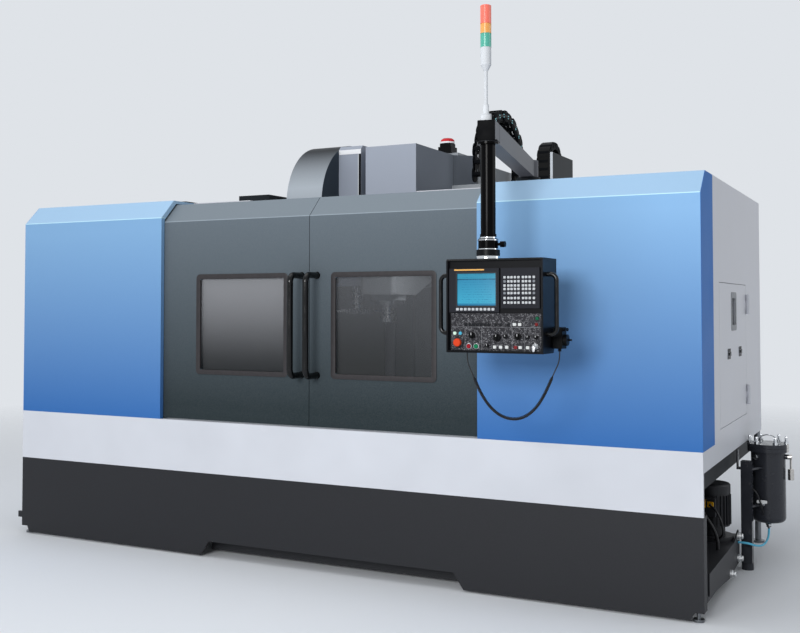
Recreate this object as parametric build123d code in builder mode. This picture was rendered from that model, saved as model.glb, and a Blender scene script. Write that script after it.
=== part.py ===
from build123d import *
import math
import os

# Large vertical machining centre: enclosure with two sliding doors, swinging control pendant,
# fixed column, cross table, head with spindle, and a drum tool magazine. Millimetres, +Z up,
# +X to the operator's right, -Y towards the operator, origin on the floor under the box centre.

os.makedirs("parts", exist_ok=True)

# Enclosure
width = 4600.0
front_y = -1050.0
side_depth = 2057.0
top_z = 2254.0
band_top = 840.0
band_bottom = 520.0
side_band_bottom = 735.0
skirt_bottom = 12.0
notch_z = 52.0
panel = 20.0
cover_width = 1202.0
cover_chamfer = 122.0
cover_return = 330.0
guard_wall = 10.0
roof_gap_left = 640.0
roof_gap_right = 570.0

# Sliding doors
door_setback = 35.0
door_thickness = 40.0
door_split = 4.0
door_overlap = 30.0
door_chamfer = 123.0
door_head = 2228.0
door_travel = 960.0
window_width = 630.0
window_height = 574.0
window_frame = 28.0
seal_proud = 3.0
window_x = 495.0
window_z = 1448.0
glass = 12.0
handle_bar = 19.0
handle_length = 633.0
handle_x = 54.0
handle_reach = 130.0
slide_gap = 0.3

# Base, bed and column
bed_half = 1150.0
bed_bottom = 70.0
bed_top = 480.0
bed_front = -790.0
bed_chamfer = 30.0
column_half = 420.0
column_front = 910.0
column_back = 1480.0
column_top = 2600.0
foot_radius = 28.0
pad_size = 150.0
anchor_radius = 13.0

# Saddle and table
rail_height = 50.0
rail_width = 60.0
saddle_top = 610.0
saddle_half_x = 1250.0
saddle_half_y = 330.0
table_length = 1900.0
table_width = 762.0
table_top = 790.0
table_thickness = 90.0
slot_count = 5
slot_pitch = 125.0
slot_width = 18.0
slot_depth = 40.0
way_sheet = 5.0
way_step = 11.0
saddle_reach = 2060.0
inner_start = 500.0
way_cover = 0.41 * (saddle_reach - inner_start)

# Head, spindle and tool
spindle_y = 6.0
nose_z = 1552.0
head_half = 135.0
housing_radius = 125.0
head_bottom = 1640.0
head_top = 2150.0
head_cover_top = 2640.0
nose_radius = 64.0
flange_radius = 50.0
groove_radius = 42.0
cutter_radius = 62.0
tool_length = 100.0

# Tool magazine and changer
drum_x_low = -611.0
drum_x_high = -330.0
drum_y = 116.0
drum_z = 2253.0
drum_radius = 447.0
pot_count = 24
pot_radius = 34.0
swing_radius = 240.0
grip_clearance = 1.0

# Pendant and its arm
post_x = 1343.0
post_y = -1490.0
post_radius = 37.5
arm_length = 1500.0
arm_angle = 12.0
arm_bottom = 2385.0
arm_height = 103.0
arm_width = 88.0
pendant_left = 1153.0
pendant_width = 506.0
pendant_bottom = 1333.0
pendant_height = 464.0
pendant_front = -1580.0
pendant_depth = 205.0
light_radius = 28.0

# Service side
filter_x = 2423.0
filter_y = 372.0
filter_radius = 100.0
filter_bottom = 255.0
filter_height = 473.0
cabinet_left = 700.0
cabinet_width = 1000.0
cabinet_depth = 520.0
cabinet_bottom = 150.0
cabinet_height = 2000.0
unit_reach = 262.0

half = width / 2
back_y = front_y + side_depth
inner_edge = half - cover_width
door_face = front_y + door_setback
chain_x = 500.0
chain_y = 844.0
chain_z = 2580.0
chain_outer = 430.0
chain_link = 90.0
chain_width = 100.0
chain_inner = chain_outer - chain_link
chain_front_end = 2420.0
chain_back_end = 2340.0
link_count = 14
front_mid = chain_y - chain_outer + chain_link / 2
back_mid = chain_y + chain_outer - chain_link / 2
beam_x0 = -column_half - 100
beam_x1 = -column_half - 10


def write(piece, label):
    """Label a finished piece and write it to its own STEP file."""
    piece.part.label = label
    export_step(piece.part, f"parts/{label}.step")


def write_group(pieces, label):
    """Write pieces that lie face to face as one STEP file, each kept as a solid of its own."""
    group = Compound([solid for piece in pieces for solid in piece.part.solids()])
    group.label = label
    export_step(group, f"parts/{label}.step")


def plane_yz(x):
    """Plane across X at x: its own x runs along +Y and its own y along +Z."""
    return Plane(origin=(x, 0, 0), x_dir=(0, 1, 0), z_dir=(1, 0, 0))


def plane_xz(y):
    """Plane across Y at y: its own x runs along +X, its own y along +Z, and it faces -Y."""
    return Plane(origin=(0, y, 0), x_dir=(1, 0, 0), z_dir=(0, -1, 0))


def block(x0, x1, y0, y1, z0, z1, mode=Mode.ADD):
    """Rectangular block between two corners, in the current part."""
    with BuildSketch(Plane.XY.offset(z0)) as footprint:
        with Locations(((x0 + x1) / 2, (y0 + y1) / 2)):
            Rectangle(x1 - x0, y1 - y0)
    return extrude(footprint.sketch, amount=z1 - z0, mode=mode)


def disc(x, y, z0, z1, radius, mode=Mode.ADD):
    """Upright round piece between two heights, in the current part."""
    with BuildSketch(Plane.XY.offset(z0)) as section:
        with Locations((x, y)):
            Circle(radius)
    return extrude(section.sketch, amount=z1 - z0, mode=mode)


def flat_plate(points, z0, z1, mode=Mode.ADD):
    """Level plate between two heights with an outline of (x, y) points, in the current part."""
    with BuildSketch(Plane.XY.offset(z0)) as outline:
        Polygon(*points, align=None)
    return extrude(outline.sketch, amount=z1 - z0, mode=mode)


def bar_x(x0, x1, y, z, radius, mode=Mode.ADD):
    """Round bar along X, in the current part."""
    with BuildSketch(plane_yz(x0)) as section:
        with Locations((y, z)):
            Circle(radius)
    return extrude(section.sketch, amount=x1 - x0, mode=mode)


def bar_y(y0, y1, x, z, radius, mode=Mode.ADD):
    """Round bar along Y, from y0 back to y1, in the current part."""
    with BuildSketch(plane_xz(y1)) as section:
        with Locations((x, z)):
            Circle(radius)
    return extrude(section.sketch, amount=y1 - y0, mode=mode)


def folded_sheet(x0, x1, outline, sheet, mode=Mode.ADD):
    """Sheet of even thickness folded along an outline of (y, z) points, between two X values."""
    with BuildSketch(plane_yz(x0)) as section:
        Polygon(*outline, *reversed(set_back(outline, sheet)), align=None)
    return extrude(section.sketch, amount=x1 - x0, mode=mode)


def set_back(outline, gap):
    """Points of an outline moved to its right-hand side by a gap, mitred at the folds."""
    normals = []
    for (y0, z0), (y1, z1) in zip(outline, outline[1:]):
        length = math.hypot(y1 - y0, z1 - z0)
        normals.append(((z1 - z0) / length, -(y1 - y0) / length))
    moved = []
    for i, (y, z) in enumerate(outline):
        before = normals[max(i - 1, 0)]
        after = normals[min(i, len(normals) - 1)]
        share = 1 + before[0] * after[0] + before[1] * after[1]
        moved.append((y + gap * (before[0] + after[0]) / share, z + gap * (before[1] + after[1]) / share))
    return moved


# Bed: cast box with four guideways for the saddle, cored pockets in its sides and a raised
# foot behind for the column.
rail_x = (380.0, 1000.0)
with BuildPart() as bed_casting:
    block(-bed_half, bed_half, bed_front, column_front - 60, bed_bottom, bed_top)
    block(-column_half - 200, column_half + 200, column_front - 60, column_back + 60, bed_bottom, bed_top - 60)
    chamfer(bed_casting.edges().filter_by(Axis.Y).group_by(Axis.Z)[-1], bed_chamfer)
    for side in (-1, 1):
        for step in range(4):
            pocket_y = bed_front + 200 + step * 400
            with BuildSketch(plane_yz(side * bed_half)):
                with Locations((pocket_y, (bed_bottom + bed_top) / 2)):
                    RectangleRounded(280, 230, 50)
            extrude(amount=-side * 260, mode=Mode.SUBTRACT)
    for x in (-rail_x[1], -rail_x[0], rail_x[0], rail_x[1]):
        block(x - rail_width / 2, x + rail_width / 2, bed_front + 20, column_front - 80, bed_top, bed_top + rail_height)
write(bed_casting, "bed_casting")

# Levelling pads under the bed, the outer four with an anchor hole beyond the casting, and the
# small levelling feet under the skirt's corners.
anchor_x = bed_half + 45
pad_rows = (bed_front + 80, column_front - 140)
with BuildPart() as leveling_feet:
    for side in (-1, 1):
        for y in pad_rows:
            pad_x = side * (anchor_x - 20)
            block(pad_x - pad_size / 2, pad_x + pad_size / 2, y - pad_size / 2, y + pad_size / 2, 0, 25)
            disc(side * anchor_x, y, 0, 25, anchor_radius, Mode.SUBTRACT)
            disc(side * (bed_half - 45), y, 25, bed_bottom, 30)
        disc(side * rail_x[0], bed_front + 80, 0, bed_bottom, 60)
        disc(side * (column_half + 110), column_back - 60, 0, bed_bottom, 60)
        disc(side * (half - 36), front_y + 45, 0, 14, foot_radius)
        disc(side * (half - 36), front_y + 45, 14, notch_z, 10)
        disc(side * (half - panel), back_y - 60, 0, 14, foot_radius + 12)
        disc(side * (half - panel), back_y - 60, 14, side_band_bottom, 20)
write(leveling_feet, "leveling_feet")

# Column: tall cast box with a flared foot, side windows in the casting and two Z guideways.
z_rail_x = 260.0
z_rail_depth = 40.0
with BuildPart() as column:
    foot_z = bed_top - 60
    with BuildSketch(plane_xz(column_back)):
        with BuildLine():
            Polyline(
                (-column_half - 160, foot_z),
                (column_half + 160, foot_z),
                (column_half, foot_z + 500),
                (column_half, column_top),
                (-column_half, column_top),
                (-column_half, foot_z + 500),
                close=True,
            )
        make_face()
    extrude(amount=column_back - column_front)
    fillet(column.edges().filter_by(Axis.Z), 30)
    for z in (1150, 1600, 2050):
        with BuildSketch(plane_yz(-column_half)):
            with Locations(((column_front + column_back) / 2 + 30, z)):
                RectangleRounded(300, 300, 60)
        extrude(amount=120, mode=Mode.SUBTRACT)
        with BuildSketch(plane_yz(column_half)):
            with Locations(((column_front + column_back) / 2 + 30, z)):
                RectangleRounded(300, 300, 60)
        extrude(amount=-120, mode=Mode.SUBTRACT)
    block(-90, 90, column_front, column_front + 70, 980, column_top, Mode.SUBTRACT)
    for x in (-z_rail_x, z_rail_x):
        block(x - 30, x + 30, column_front - z_rail_depth, column_front, 1000, column_top - 60)
    block(-140, 140, column_front - 20, column_back - 200, column_top, column_top + 130)
    block(
        column_half, chain_x + chain_width / 2, back_mid - chain_link / 2, back_mid + chain_link / 2,
        chain_back_end - 60, chain_back_end,
    )
write(column, "column")

# Z servo motor with its cap, standing on the column's top bracket.
motor_base = column_top + 130
with BuildPart() as z_motor:
    motor_y = column_front + 20
    block(-20, 90, motor_y - 55, motor_y + 55, motor_base, motor_base + 50)
    block(-10, 80, motor_y - 45, motor_y + 45, motor_base + 50, motor_base + 78)
    disc(35, motor_y, motor_base + 78, motor_base + 118, 52)
    chamfer(z_motor.faces().sort_by(Axis.Z)[-1].edges(), 16)
write(z_motor, "z_motor")

# Skirt: one front sheet with a toe recess and a notch over each corner foot.
toe_left = -770.0
toe_right = 1013.0
toe_z = 100.0
with BuildPart() as base_skirt:
    with BuildSketch(plane_xz(front_y + panel)):
        with BuildLine():
            Polyline(
                (-half + 66, skirt_bottom),
                (toe_left, skirt_bottom),
                (toe_left + 60, toe_z),
                (toe_right - 60, toe_z),
                (toe_right, skirt_bottom),
                (half - 66, skirt_bottom),
                (half - 50, notch_z),
                (half, notch_z),
                (half, band_bottom),
                (-half, band_bottom),
                (-half, notch_z),
                (-half + 50, notch_z),
                close=True,
            )
        make_face()
    extrude(amount=panel)
    block(toe_left, toe_right, front_y + panel, front_y + 140, toe_z, toe_z + panel)
    block(toe_left, toe_right, front_y + 120, front_y + 140, 25, toe_z)
    for side in (-1, 1):
        x0, x1 = sorted((side * (half - 72), side * half))
        block(x0, x1, front_y + panel, front_y + 80, notch_z, notch_z + panel)
        x0, x1 = sorted((side * (half - panel), side * half))
        block(x0, x1, front_y + panel, front_y + 80, notch_z + panel, band_bottom)
    block(-half - 100, -half, front_y + 60, front_y + 76, 90, 130)
    block(-half - 60, -half, front_y + 60, front_y + 76, 200, 250)
write(base_skirt, "base_skirt")

# White band: front sheet with a top ledge under the doors, returned along both sides.
ledge = 90.0
with BuildPart() as lower_band:
    block(-half, half, front_y, front_y + panel, band_bottom, band_top)
    block(-half, half, front_y + panel, front_y + ledge, band_top - panel, band_top)
    for side in (-1, 1):
        x0, x1 = sorted((side * (half - panel), side * half))
        block(x0, x1, front_y + panel, back_y, side_band_bottom, band_top)
write(lower_band, "lower_band")

# Front covers: folded sheets with a sloping head, a flange beside the door and a side return.
cover_outline = [
    (front_y, band_top),
    (front_y, top_z - cover_chamfer),
    (front_y + cover_chamfer, top_z),
    (front_y + cover_return, top_z),
]
flange = door_setback - 5


def front_cover(side):
    """Cover beside the door opening, for the left (-1) or right (1) side."""
    with BuildPart() as cover:
        x0, x1 = sorted((side * inner_edge, side * half))
        folded_sheet(x0, x1, cover_outline, panel)
        x0, x1 = sorted((side * inner_edge, side * (inner_edge + panel)))
        folded_sheet(x0, x1, cover_outline[:3], flange)
        x0, x1 = sorted((side * (half - panel), side * half))
        with BuildSketch(plane_yz(x0)):
            with BuildLine():
                Polyline(*cover_outline, (front_y + cover_return, band_top), close=True)
            make_face()
        extrude(amount=panel)
    return cover


write(front_cover(-1), "left_cover")
write(front_cover(1), "right_cover")

# Side panels; the right one has the opening of the service door and its hinge pins.
service_y0 = -550.0
service_y1 = 380.0
service_z0 = 900.0
service_z1 = 1693.0
pin_radius = 5.0
pin_gap = 0.08
knuckle_radius = 11.0
hinge_out = 12.0
knuckle = 40.0
flap = 18.0
door_gap = 3.0


def leaf(x, y, z0, z1, out, along):
    """Web from a knuckle's axis down to the wall, and the flap that is screwed to the wall."""
    for a0, a1, b0, b1 in ((-hinge_out, 0, 0, 5), (-hinge_out, -hinge_out + 5, 0, flap)):
        x0, x1 = sorted((x + out[0] * a0 + along[0] * b0, x + out[0] * a1 + along[0] * b1))
        y0, y1 = sorted((y + out[1] * a0 + along[1] * b0, y + out[1] * a1 + along[1] * b1))
        block(x0, x1, y0, y1, z0, z1)


def hinge_fixed(x, y, heights, out, along):
    """Fixed hinge halves: two knuckles joined by the pin, at each height."""
    for z in heights:
        disc(x, y, z - knuckle / 2, z + knuckle / 2, pin_radius)
        for z0 in (z - 1.5 * knuckle, z + 0.5 * knuckle):
            disc(x, y, z0, z0 + knuckle, knuckle_radius)
            leaf(x, y, z0, z0 + knuckle, out, along)


def hinge_moving(x, y, heights, out, along):
    """Moving hinge halves: the middle knuckle with its bore, at each height."""
    for z in heights:
        z0 = z - knuckle / 2 + slide_gap
        z1 = z + knuckle / 2 - slide_gap
        disc(x, y, z0, z1, knuckle_radius)
        leaf(x, y, z0, z1, out, along)
        disc(x, y, z0, z1, pin_radius + pin_gap, Mode.SUBTRACT)


with BuildPart() as left_side_panel:
    block(-half, -half + panel, front_y + cover_return, back_y, band_top, top_z)
    for y in (-300.0, 400.0):
        with BuildSketch(plane_yz(-half)):
            with Locations((y, 1550)):
                RectangleRounded(560, 1100, 20)
                RectangleRounded(550, 1090, 15, mode=Mode.SUBTRACT)
        extrude(amount=2, mode=Mode.SUBTRACT)
write(left_side_panel, "left_side_panel")

service_heights = (service_z0 + 120, service_z1 - 120)
service_pivot_x = half + hinge_out
with BuildPart() as right_side_panel:
    block(half - panel, half, front_y + cover_return, back_y, band_top, top_z)
    block(
        half - panel, half, service_y0, service_y1 + 2, service_z0, service_z1, Mode.SUBTRACT
    )
    hinge_fixed(service_pivot_x, service_y1, service_heights, (1, 0), (0, 1))
write(right_side_panel, "right_side_panel")

# Service door with a slot window and two recessed latches.
window_slot_y = -72.0
window_slot_z = 1532.0
latch_z = 1294.0
with BuildPart() as side_service_door:
    block(half - panel, half, service_y0 + door_gap, service_y1 - 1, service_z0 + door_gap, service_z1 - door_gap)
    with BuildSketch(plane_yz(half - panel)):
        with Locations((window_slot_y, window_slot_z)):
            RectangleRounded(130, 200, 40)
    extrude(amount=panel, mode=Mode.SUBTRACT)
    with BuildSketch(plane_yz(half - panel)):
        with Locations((window_slot_y, window_slot_z)):
            RectangleRounded(130, 200, 40)
    extrude(amount=6)
    for y in (window_slot_y - 195, window_slot_y + 195):
        with BuildSketch(plane_yz(half)):
            with Locations((y, latch_z)):
                RectangleRounded(90, 58, 6)
        extrude(amount=4)
        block(half + 4, half + 10, y - 30, y + 30, latch_z - 12, latch_z + 12)
    hinge_moving(service_pivot_x, service_y1, service_heights, (1, 0), (0, -1))
write(side_service_door, "side_service_door")

# Rear panels either side of the column, and the roof with its open middle for the head.
with BuildPart() as rear_panels:
    for side in (-1, 1):
        x0, x1 = sorted((side * (column_half + 30), side * (half - panel)))
        block(x0, x1, back_y - panel, back_y, band_top, top_z - panel)
        x0, x1 = sorted((side * (column_half + 180), side * (half - panel)))
        block(x0, x1, back_y - panel, back_y, side_band_bottom, band_top)
    block(
        beam_x0 - 10, -column_half, back_y - panel, back_y, drum_z - 110, top_z - panel, Mode.SUBTRACT
    )
write(rear_panels, "rear_panels")

roof_front = front_y + cover_return
with BuildPart() as roof_panels:
    block(-half + panel, -roof_gap_left, roof_front, back_y, top_z - panel, top_z)
    block(roof_gap_right, half - panel, roof_front, back_y, top_z - panel, top_z)
write(roof_panels, "roof_panels")

# Inner guard: separate sheets that meet edge to edge, with side walls that slope in to the chip
# floor beside the bed, a low front wall and rear walls.
guard_x = half - 60
guard_slope_x = half - 600
guard_front = front_y + ledge
guard_back = column_front - 30
guard_floor = bed_top - bed_chamfer
guard_slope_z = guard_floor + 160
guard_top = door_head - 118
bed_gap = 0.3
guard_low = guard_floor - guard_wall


def guard_sheet(*corners):
    """One sheet of the guard between two corners (x0, x1, y0, y1, z0, z1)."""
    with BuildPart() as sheet:
        block(*corners)
    return sheet


guard_sheets = [
    guard_sheet(-guard_x, guard_x, guard_front, guard_front + guard_wall, guard_low, band_top),
    guard_sheet(
        -guard_slope_x, guard_slope_x, guard_front + guard_wall, bed_front - bed_gap, guard_low, guard_floor
    ),
]
guard_y0 = guard_front + guard_wall
guard_y1 = guard_back - guard_wall
for side in (-1, 1):
    x0, x1 = sorted((side * guard_x, side * (guard_x + guard_wall)))
    guard_sheets.append(guard_sheet(x0, x1, guard_y0, guard_back, guard_slope_z, guard_top))
    x0, x1 = sorted((side * (bed_half + bed_gap), side * guard_slope_x))
    guard_sheets.append(guard_sheet(x0, x1, bed_front - bed_gap, guard_back, guard_low, guard_floor))
    x0, x1 = sorted((side * (column_half + 60), side * guard_x))
    guard_sheets.append(guard_sheet(x0, x1, guard_y1, guard_back, guard_slope_z, guard_top))
    with BuildPart() as slope:
        with BuildSketch(plane_xz(guard_back)):
            Polygon(
                (side * guard_slope_x, guard_low),
                (side * guard_slope_x, guard_floor),
                (side * guard_x, guard_slope_z),
                (side * (guard_x + guard_wall), guard_slope_z),
                align=None,
            )
        extrude(amount=guard_back - guard_y0)
    guard_sheets.append(slope)
    with BuildPart() as rear_corner:
        with BuildSketch(plane_xz(guard_back)):
            Polygon(
                (side * (column_half + 60), guard_floor),
                (side * guard_slope_x, guard_floor),
                (side * guard_x, guard_slope_z),
                (side * (column_half + 60), guard_slope_z),
                align=None,
            )
        extrude(amount=guard_wall)
    guard_sheets.append(rear_corner)
write_group(guard_sheets, "inner_guard")

# Door rails: a strip on the ledge under the doors, and the header beam with the upper rail.
rail_strip = 6.0
header_back = front_y + cover_return
top_rail_y = door_face + door_chamfer + 60
rail_end = half - panel
hanger = 25.0
with BuildPart() as door_rails:
    block(-rail_end, rail_end, door_face + 8, door_face + door_thickness - 8, band_top, band_top + rail_strip)
    block(-rail_end, rail_end, top_rail_y, top_rail_y + 30, door_head - hanger - 60, door_head - hanger)
    block(-rail_end, rail_end, top_rail_y, header_back, door_head - hanger - 80, door_head - hanger - 60)
    block(
        -inner_edge, inner_edge, header_back, header_back + panel, door_head - hanger - 80, top_z - panel
    )
write(door_rails, "door_rails")

# Sliding doors: folded fronts with a rounded window, hung on the upper rail.
door_width = inner_edge + door_overlap - door_split / 2
door_bottom = band_top + rail_strip + slide_gap
door_outline = [
    (door_face, door_bottom),
    (door_face, door_head - door_chamfer),
    (door_face + door_chamfer, door_head),
    (top_rail_y + 36, door_head),
]


def door_panel(side):
    """Door shell with its window opening, seal frame and rebate for the pane."""
    x0, x1 = sorted((side * door_split / 2, side * (door_split / 2 + door_width)))
    with BuildPart() as door:
        folded_sheet(x0, x1, door_outline[:3], hanger)
        block(x0, x1, door_face + hanger, door_face + door_thickness, door_bottom, door_head - door_chamfer - 60)
        block(x0, x1, door_face + door_chamfer, top_rail_y + 36, door_head - hanger + slide_gap, door_head)
        with BuildSketch(plane_xz(door_face)):
            with Locations((side * window_x, window_z)):
                RectangleRounded(window_width + 2 * window_frame, window_height + 2 * window_frame, 26)
        extrude(amount=seal_proud)
        with BuildSketch(plane_xz(door_face + door_thickness)):
            with Locations((side * window_x, window_z)):
                RectangleRounded(window_width, window_height, 14)
        extrude(amount=door_thickness + seal_proud, mode=Mode.SUBTRACT)
        with BuildSketch(plane_xz(door_face + door_thickness)):
            with Locations((side * window_x, window_z)):
                RectangleRounded(window_width + 24, window_height + 24, 14)
        extrude(amount=door_thickness - 14, mode=Mode.SUBTRACT)
    return door


def door_glass(side):
    """Laminated pane seated in the door's rebate."""
    with BuildPart() as pane:
        with BuildSketch(plane_xz(door_face + 14 + glass)):
            with Locations((side * window_x, window_z)):
                RectangleRounded(window_width + 23, window_height + 23, 14)
        extrude(amount=glass)
    return pane


def door_handle(side):
    """Round bar bent back at both ends on to the door, with a foot at each end."""
    x = side * handle_x
    y = door_face - handle_reach
    z0 = window_z - handle_length / 2 + handle_bar
    z1 = window_z + handle_length / 2 - handle_bar
    with BuildPart() as handle:
        with BuildLine() as path:
            FilletPolyline(
                (x, door_face, z0),
                (x, y, z0),
                (x, y, z1),
                (x, door_face, z1),
                radius=2.2 * handle_bar,
            )
        with BuildSketch(Plane(origin=(x, door_face, z0), z_dir=(0, -1, 0))):
            Circle(handle_bar)
        sweep(path=path.wires()[0])
        for z in (z0, z1):
            bar_y(door_face - 4, door_face, x, z, handle_bar + 3)
    return handle


for side, name in ((-1, "left"), (1, "right")):
    write(door_panel(side), f"{name}_door_panel")
    write(door_glass(side), f"{name}_door_glass")
    write(door_handle(side), f"{name}_door_handle")

# Saddle: casting on the four bed guideways, with wings that carry the fixed way covers.
saddle_bottom = bed_top + rail_height + slide_gap
rail_x_height = 35.0
way_low = saddle_top + 6
cover_high = table_top - table_thickness - 7
x_rail_y = 230.0


def way_cover_outline(rank):
    """Roof-shaped section of a way cover; rank 0 is the outermost and highest."""
    y = saddle_half_y - rank * way_step
    z = cover_high - rank * way_step
    return [(-y, way_low), (-y, z - 40), (-y + 60, z), (y - 60, z), (y, z - 40), (y, way_low)]


with BuildPart() as saddle:
    with BuildSketch(plane_xz(saddle_half_y)):
        with BuildLine():
            Polyline(
                (-saddle_half_x, saddle_bottom + 40),
                (-saddle_half_x + 200, saddle_bottom),
                (saddle_half_x - 200, saddle_bottom),
                (saddle_half_x, saddle_bottom + 40),
                (saddle_half_x, saddle_top),
                (-saddle_half_x, saddle_top),
                close=True,
            )
        make_face()
    extrude(amount=2 * saddle_half_y)
    for side in (-1, 1):
        with BuildSketch(Plane.XY.offset(saddle_top - 24)):
            with BuildLine():
                Polyline(
                    (side * saddle_half_x, -saddle_half_y),
                    (side * (saddle_reach - 300), -saddle_half_y),
                    (side * saddle_reach, -saddle_half_y + 60),
                    (side * saddle_reach, saddle_half_y - 60),
                    (side * (saddle_reach - 300), saddle_half_y),
                    (side * saddle_half_x, saddle_half_y),
                    close=True,
                )
            make_face()
        extrude(amount=24)
        x0, x1 = sorted((side * (saddle_reach - way_cover), side * saddle_reach))
        folded_sheet(x0, x1, way_cover_outline(3), way_sheet)
        for y in (-190.0, 190.0):
            block(x0 + 40, x1 - 40, y - 10, y + 10, saddle_top, cover_high - 3 * way_step - way_sheet)
        for y in (-saddle_half_y + 3 * way_step, saddle_half_y - 3 * way_step - way_sheet):
            block(x0, x1, y, y + way_sheet, saddle_top, way_low)
    for y in (-x_rail_y, x_rail_y):
        block(-saddle_half_x + 20, saddle_half_x - 20, y - 25, y + 25, saddle_top, saddle_top + rail_x_height)
write(saddle, "saddle")

# Moving way covers between the table's own covers and the saddle's, telescoping in two steps.
wiper = 14.0
wiper_half = saddle_half_y - 130
cover_starts = (
    inner_start,
    inner_start + (saddle_reach - way_cover - inner_start) / 3 - 10,
    inner_start + (saddle_reach - way_cover - inner_start) * 2 / 3 - 10,
)


def way_covers(rank):
    """Pair of way cover segments of one rank, each with a wiper resting on the next one."""
    with BuildPart() as covers:
        for side in (-1, 1):
            x0, x1 = sorted((side * cover_starts[rank], side * (cover_starts[rank] + way_cover)))
            folded_sheet(x0, x1, way_cover_outline(rank), way_sheet)
            outer_end = cover_starts[rank] + way_cover
            roof = cover_high - rank * way_step
            x0, x1 = sorted((side * (outer_end - wiper), side * outer_end))
            block(x0, x1, -wiper_half, wiper_half, roof - way_step + slide_gap, roof - way_sheet)
            if rank == 0:
                x0, x1 = sorted((side * (inner_start + 20), side * (inner_start + 60)))
                block(x0, x1, -wiper_half, wiper_half, roof, table_top - table_thickness)
    return covers


write(way_covers(0), "table_way_covers")
write(way_covers(1), "inner_way_covers")
write(way_covers(2), "outer_way_covers")

# Table: base plate with the lands between its T slots, on four trucks that ride the saddle's
# rails along X. The outer lands' corners are chamfered with the plate's.
slot_z = table_top - slot_depth
table_corner = 25.0
t_half = 15.0
t_height = 14.0
half_length = table_length / 2
half_table = table_width / 2


def table_outline(y0, y1):
    """Plan of the table between two Y values, with the corners cut where it reaches them."""
    cut0 = table_corner if y0 <= -half_table else 0
    cut1 = table_corner if y1 >= half_table else 0
    return [
        (-half_length + cut0, y0), (half_length - cut0, y0), (half_length, y0 + cut0),
        (half_length, y1 - cut1), (half_length - cut1, y1), (-half_length + cut1, y1),
        (-half_length, y1 - cut1), (-half_length, y0 + cut0),
    ]


def corners_once(points):
    """The same outline without points that fall together."""
    return [point for n, point in enumerate(points) if point != points[n - 1]]


with BuildPart() as table_plate:
    flat_plate(table_outline(-half_table, half_table), table_top - table_thickness, slot_z)
table_pieces = [table_plate]
for n in range(slot_count + 1):
    low = -half_table if n == 0 else (n - 1 - (slot_count - 1) / 2) * slot_pitch
    high = half_table if n == slot_count else (n - (slot_count - 1) / 2) * slot_pitch
    low_side = 0 if n == 0 else 1
    high_side = 0 if n == slot_count else 1
    with BuildPart() as land:
        flat_plate(
            corners_once(table_outline(low + low_side * t_half, high - high_side * t_half)), slot_z, slot_z + t_height
        )
        flat_plate(
            corners_once(table_outline(low + low_side * slot_width / 2, high - high_side * slot_width / 2)),
            slot_z + t_height, table_top,
        )
    table_pieces.append(land)
for x in (-380.0, 380.0):
    for y in (-x_rail_y, x_rail_y):
        with BuildPart() as truck_block:
            block(
                x - 70, x + 70, y - 45, y + 45, saddle_top + rail_x_height + slide_gap, table_top - table_thickness
            )
        table_pieces.append(truck_block)
write_group(table_pieces, "table")

# Head: casting from the spindle housing back to four trucks on the Z guideways, with the
# spindle motor on top and the ball nut's bracket behind.
housing_low = nose_z + 48
nozzle_circle = housing_radius - 12
head_back = column_front - z_rail_depth - slide_gap
truck = 35.0
with BuildPart() as head_casting:
    with BuildSketch(plane_yz(-head_half)):
        Polygon(
            (spindle_y - 165, head_bottom),
            (spindle_y + 165, head_bottom),
            (470, head_bottom + 120),
            (head_back - truck, head_bottom + 120),
            (head_back - truck, head_top + 230),
            (470, head_top + 230),
            (445, head_top),
            (spindle_y - 165, head_top),
            align=None,
        )
    extrude(amount=2 * head_half)
    fillet(head_casting.edges().filter_by(Axis.Z).group_by(Axis.Y)[0], 35)
    block(-300, 300, 470, head_back - truck, head_bottom + 60, head_top + 230)
    disc(0, spindle_y, housing_low, head_bottom, housing_radius)
    disc(0, spindle_y, head_top, head_cover_top - 80, 70)
    for x in (-z_rail_x, z_rail_x):
        for z in (head_bottom + 110, head_top):
            block(x - 40, x + 40, head_back - truck, head_back, z, z + 200)
    block(-60, 60, head_back - truck, column_front - 8, head_top - 150, head_top - 30)
    block(
        300, chain_x + chain_width / 2, front_mid - chain_link / 2, front_mid + chain_link / 2,
        chain_front_end - 90, chain_front_end,
    )
    for angle in (45, 135, 225, 315):
        x = nozzle_circle * math.cos(math.radians(angle))
        y = spindle_y + nozzle_circle * math.sin(math.radians(angle))
        disc(x, y, housing_low - 22, housing_low, 8)
write(head_casting, "head_casting")

# Sheet cover over the spindle motor, with a second section reaching back to the column.
hood_x0 = -80.0
hood_x1 = 300.0
hood_y0 = spindle_y - 176
hood_y1 = 438.0
hood_back = head_back - 5
hood_sheet = 6.0
with BuildPart() as head_cover:
    block(hood_x0, hood_x1, hood_y0, hood_y1, head_top, head_cover_top)
    block(
        hood_x0 + hood_sheet, hood_x1 - hood_sheet, hood_y0 + hood_sheet, hood_y1 - hood_sheet, head_top,
        head_cover_top - hood_sheet, Mode.SUBTRACT,
    )
    rear_low = head_top + 230
    with BuildSketch(plane_yz(hood_x0)):
        Polygon(
            (hood_y1, rear_low), (hood_back, rear_low), (hood_back, head_cover_top + 50), (hood_y1, head_cover_top),
            align=None,
        )
    extrude(amount=hood_x1 - hood_x0)
    with BuildSketch(plane_yz(hood_x0 + hood_sheet)):
        Polygon(
            (hood_y1 + hood_sheet, rear_low),
            (hood_back - hood_sheet, rear_low),
            (hood_back - hood_sheet, head_cover_top + 50 - hood_sheet),
            (hood_y1 + hood_sheet, head_cover_top - hood_sheet),
            align=None,
        )
    extrude(amount=hood_x1 - hood_x0 - 2 * hood_sheet, mode=Mode.SUBTRACT)
write(head_cover, "head_cover")

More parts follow.
